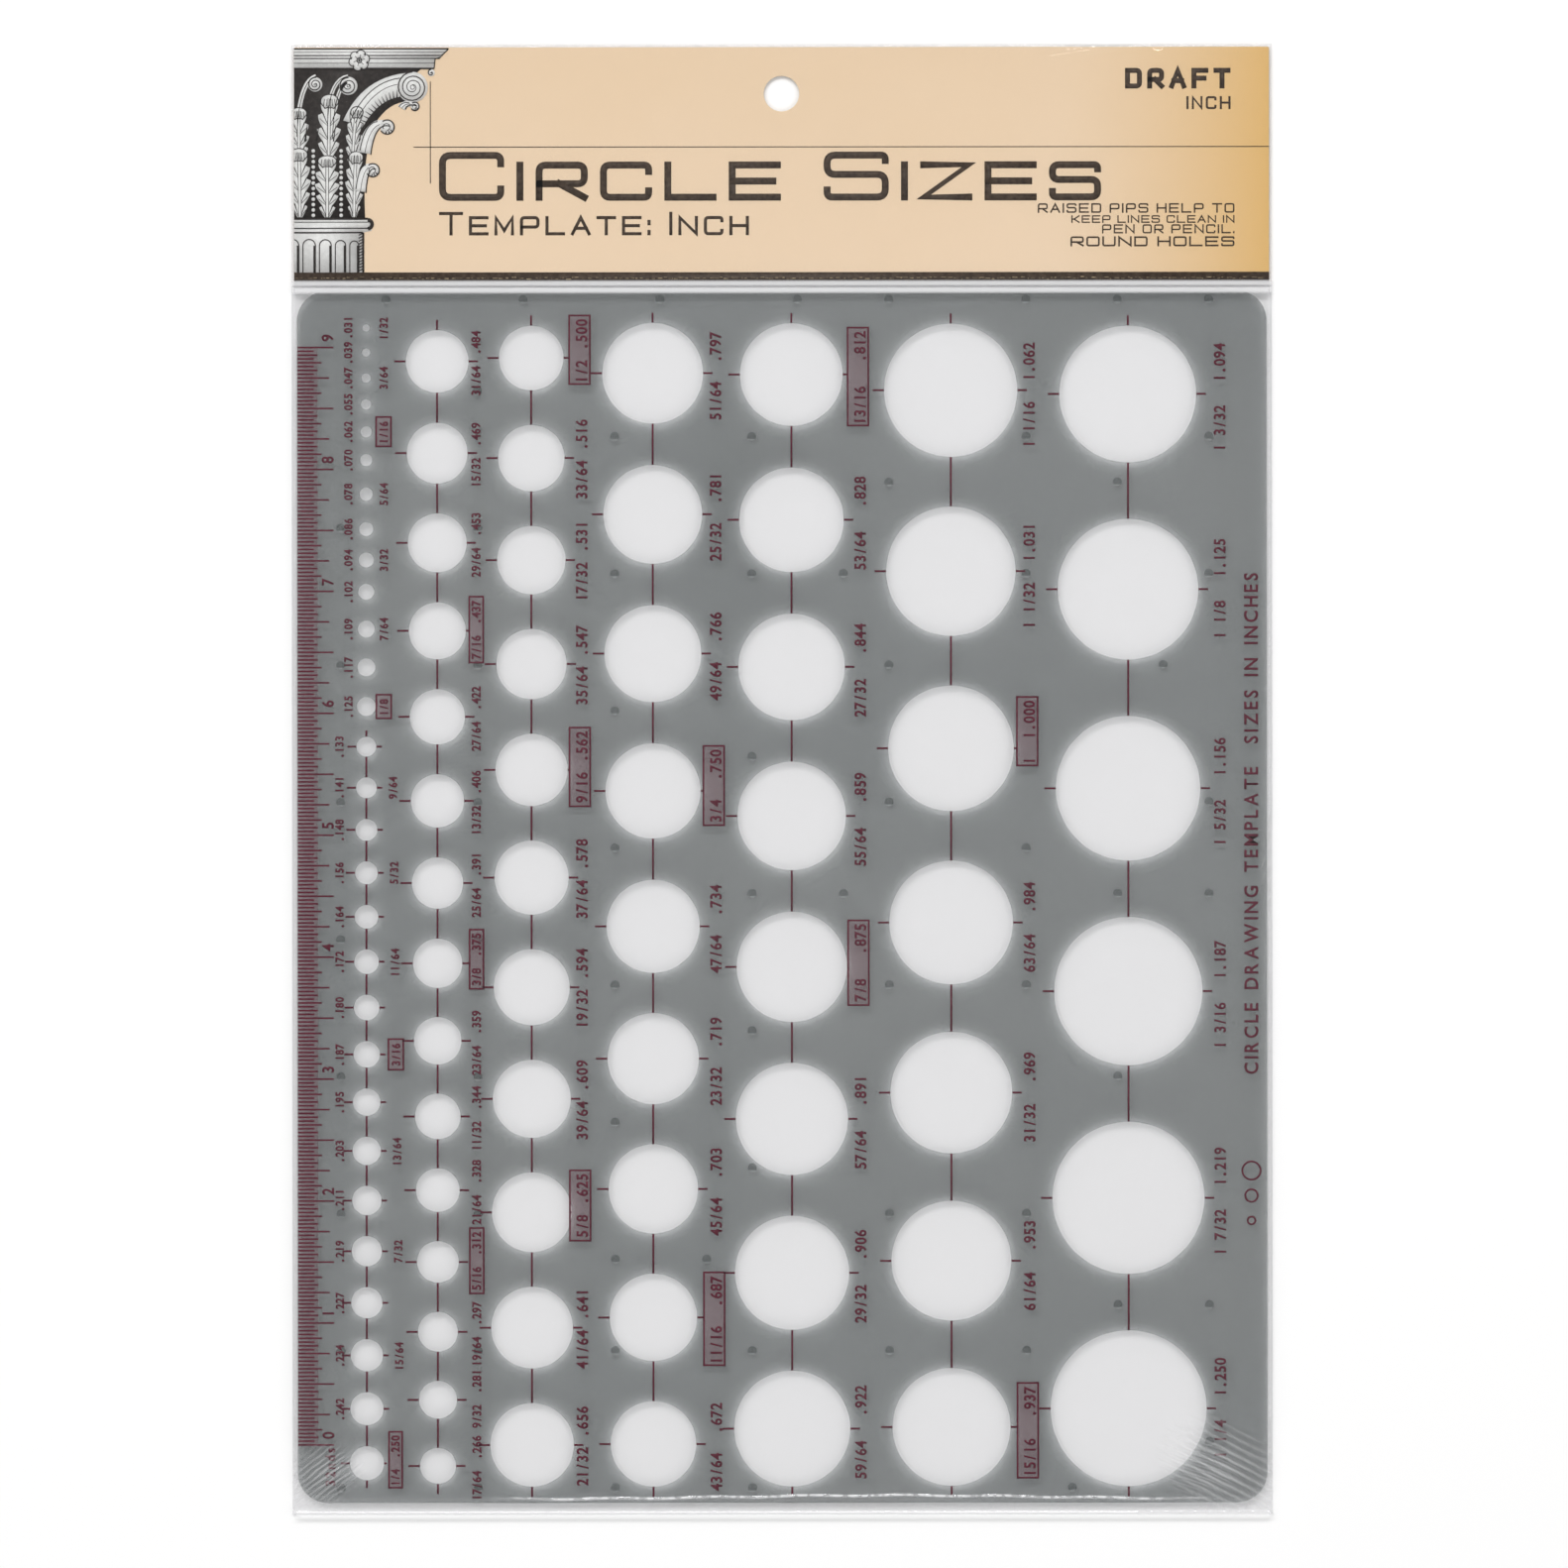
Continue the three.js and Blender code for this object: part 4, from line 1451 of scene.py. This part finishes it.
for patch in RIPPLES:
    cx, cy = patch["centre"]
    rx, ry = patch["reach"]
    xs = steps(max(cx - rx, 0.5 - SHOULDER), min(cx + rx, SHOULDER - 0.5), 0.22)
    front_points += grid(xs, steps(max(cy - ry, mouth + 1.6), cy + ry, 0.22))
for (ax, ay), (bx, by), _ in SCRATCHES:
    for i in range(61):
        t = -0.1 + 1.2 * i / 60
        x, middle = ax + (bx - ax) * t, ay + (by - ay) * t
        across = [middle + 0.06 * j for j in range(-7, 8)]
        front_points += [(x, y) for y in across if y < sleeve_high[1] - 0.6]


WRINKLE_GLINT_SCALE = 2.2


def frosted_line(tree, y_mm, strength, full_mm, end_mm):
    """White along a line across the film, full close to it and gone at its end distance. At the weld it
    is partly frost and partly painted highlight; at the mouth's edge it is painted highlight.
    """
    away = math_node(tree, "ABSOLUTE", math_node(tree, "SUBTRACT", object_axis(tree, "Y"), y_mm * MM), 0)
    return spread_to(tree, away, strength, 0.0, full_mm * MM, end_mm * MM)


def wrinkled_patch(tree, centre, reach, angle, strength):
    """Fine pale parallel streaks in a soft oval patch: painted highlights, standing in for the glints of
    the film's wrinkles.
    """
    local = add_node(
        tree, "ShaderNodeMapping", Vector=object_place(tree), Rotation=(0, 0, math.radians(angle)),
        Location=(centre[0] * MM, centre[1] * MM, 0), Scale=(reach[0] * MM, reach[1] * MM, 1),
    )
    local.vector_type = "TEXTURE"
    oval = add_node(tree, "ShaderNodeTexGradient", Vector=local.outputs[0])
    oval.gradient_type = "SPHERICAL"
    bands = add_node(
        tree, "ShaderNodeTexWave", Vector=local.outputs[0], Scale=WRINKLE_GLINT_SCALE, Distortion=2.0,
        Detail=1.0,
    )
    bands.bands_direction = "Y"
    streak = spread_to(tree, bands.outputs["Fac"], 0.0, strength, 0.45, 1.0)
    return math_node(tree, "MULTIPLY", streak, oval.outputs["Fac"])


def crease_frost(tree):
    """White along the crease, a painted highlight for the crease's glint, broken up by fine noise."""
    x_mm = math_node(tree, "DIVIDE", object_axis(tree, "X"), MM)
    y_mm = math_node(tree, "DIVIDE", object_axis(tree, "Y"), MM)
    path = mouth + CREASE_ABOVE_MOUTH
    for size, pace, start in CREASE_WAVES:
        angle = math_node(tree, "ADD", math_node(tree, "MULTIPLY", x_mm, pace), start)
        wave = math_node(tree, "MULTIPLY", math_node(tree, "SINE", angle, 0), size)
        path = math_node(tree, "ADD", wave, path)
    away = math_node(tree, "ABSOLUTE", math_node(tree, "SUBTRACT", y_mm, path), 0)
    line = spread_to(tree, away, 0.62, 0.0, 0.08, 0.34)
    broken = spread_to(tree, noise(tree, 650.0, 2.0), 0.30, 1.0, 0.42, 0.58)
    left = spread_to(tree, x_mm, 0.0, 1.0, *CREASE_LEFT)
    right = spread_to(tree, x_mm, 0.0, 1.0, *CREASE_RIGHT)
    ends = math_node(tree, "MULTIPLY", left, right)
    return math_node(tree, "MULTIPLY", math_node(tree, "MULTIPLY", line, broken), ends)


# White on the front film: the weld strip is frosted and brightened further as painted highlight; the
# mouth's edge, the crease and the corner streaks are painted highlights.
front_material = clear_film_material("clear_front", 0.06, [
    lambda tree: frosted_line(tree, (weld_low + weld_high) / 2, 0.55, 0.95, 1.5),
    lambda tree: frosted_line(tree, mouth + 0.36, 0.60, 0.16, 0.42),
    lambda tree: wrinkled_patch(tree, (-95.5, -144.8), (8.5, 7.5), 37, 0.20),
    lambda tree: wrinkled_patch(tree, (91.5, -143.8), (15.0, 11.0), -27, 0.18),
    crease_frost,
])
front_film = film_web("front_film_clear", front_points, front_height, front_material)
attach(front_film, "sleeve")
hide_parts("sleeve_front_film")


# ---------------------------------------------------------------------------------------------
# Studio: a plain white floor, three soft panels of light with the strongest beyond the header, a
# surround that is bright half way up, and a camera straight above the sleeve.
# ---------------------------------------------------------------------------------------------

FLOOR_HALF = 6.0
FLOOR_DROP = 0.1
VIEW_WIDTH = 327.0
CAMERA_HEIGHT = 1.4
SENSOR = 36.0

floor_white, floor_tree = node_tree("studio_floor")
finished(floor_white, add_node(floor_tree, "ShaderNodeBsdfDiffuse", Color=(0.94, 0.94, 0.94, 1)))
half = FLOOR_HALF / MM
floor_spots = [(x, y, -FLOOR_DROP) for x, y in box_corners(-half, half, -half, half)]
floor = object_from("studio_floor", floor_spots, [(0, 1, 2, 3)], floor_white)


def panel_light(name, place, size, power):
    data = bpy.data.lights.new(name, "AREA")
    data.shape = "RECTANGLE"
    data.size, data.size_y = size
    data.energy = power
    lamp = bpy.data.objects.new(name, data)
    lamp.location = place
    lamp.rotation_mode = "QUATERNION"
    lamp.rotation_quaternion = (-Vector(place)).to_track_quat("-Z", "Y")
    bpy.context.scene.collection.objects.link(lamp)


# Each panel: its place and size in metres, and its power in watts.
for panel in (
    ("panel_far", (-0.7, 2.4, 2.9), (3.4, 0.7), 80),
    ("panel_right", (3.0, -0.2, 2.5), (1.2, 2.4), 9),
    ("panel_near", (0.4, -2.9, 2.7), (2.6, 1.0), 6),
):
    panel_light(*panel)

# The surround is a soft ring of light half way up, dark straight above so the film stays clear.
scene = bpy.context.scene
scene.world = bpy.data.worlds.new("studio")
scene.world.use_nodes = True
sky = scene.world.node_tree
way = sky.nodes.new("ShaderNodeTexCoord").outputs["Generated"]
up = add_node(sky, "ShaderNodeSeparateXYZ", Vector=way).outputs["Z"]
below = spread_to(sky, up, 0.35, 1.0, 0.30, 0.55)
above = spread_to(sky, up, 1.0, 0.03, 0.82, 0.95)
ring_light = math_node(sky, "MULTIPLY", below, above)
surround = sky.nodes["Background"].inputs
feed(sky, surround["Color"], (1.0, 0.998, 0.995, 1))
feed(sky, surround["Strength"], math_node(sky, "MULTIPLY", ring_light, 0.98))
scene.view_settings.view_transform = "Standard"
scene.cycles.transparent_max_bounces = 40
scene.cycles.max_bounces = 6

camera_data = bpy.data.cameras.new("camera")
camera_data.sensor_width = SENSOR
camera_data.lens = SENSOR * CAMERA_HEIGHT / (VIEW_WIDTH * MM)
camera = bpy.data.objects.new("camera", camera_data)
camera.location = (0.0004, -0.001, CAMERA_HEIGHT)
camera.rotation_euler = (0.0, 0.0, math.radians(-0.05))
scene.collection.objects.link(camera)
scene.camera = camera
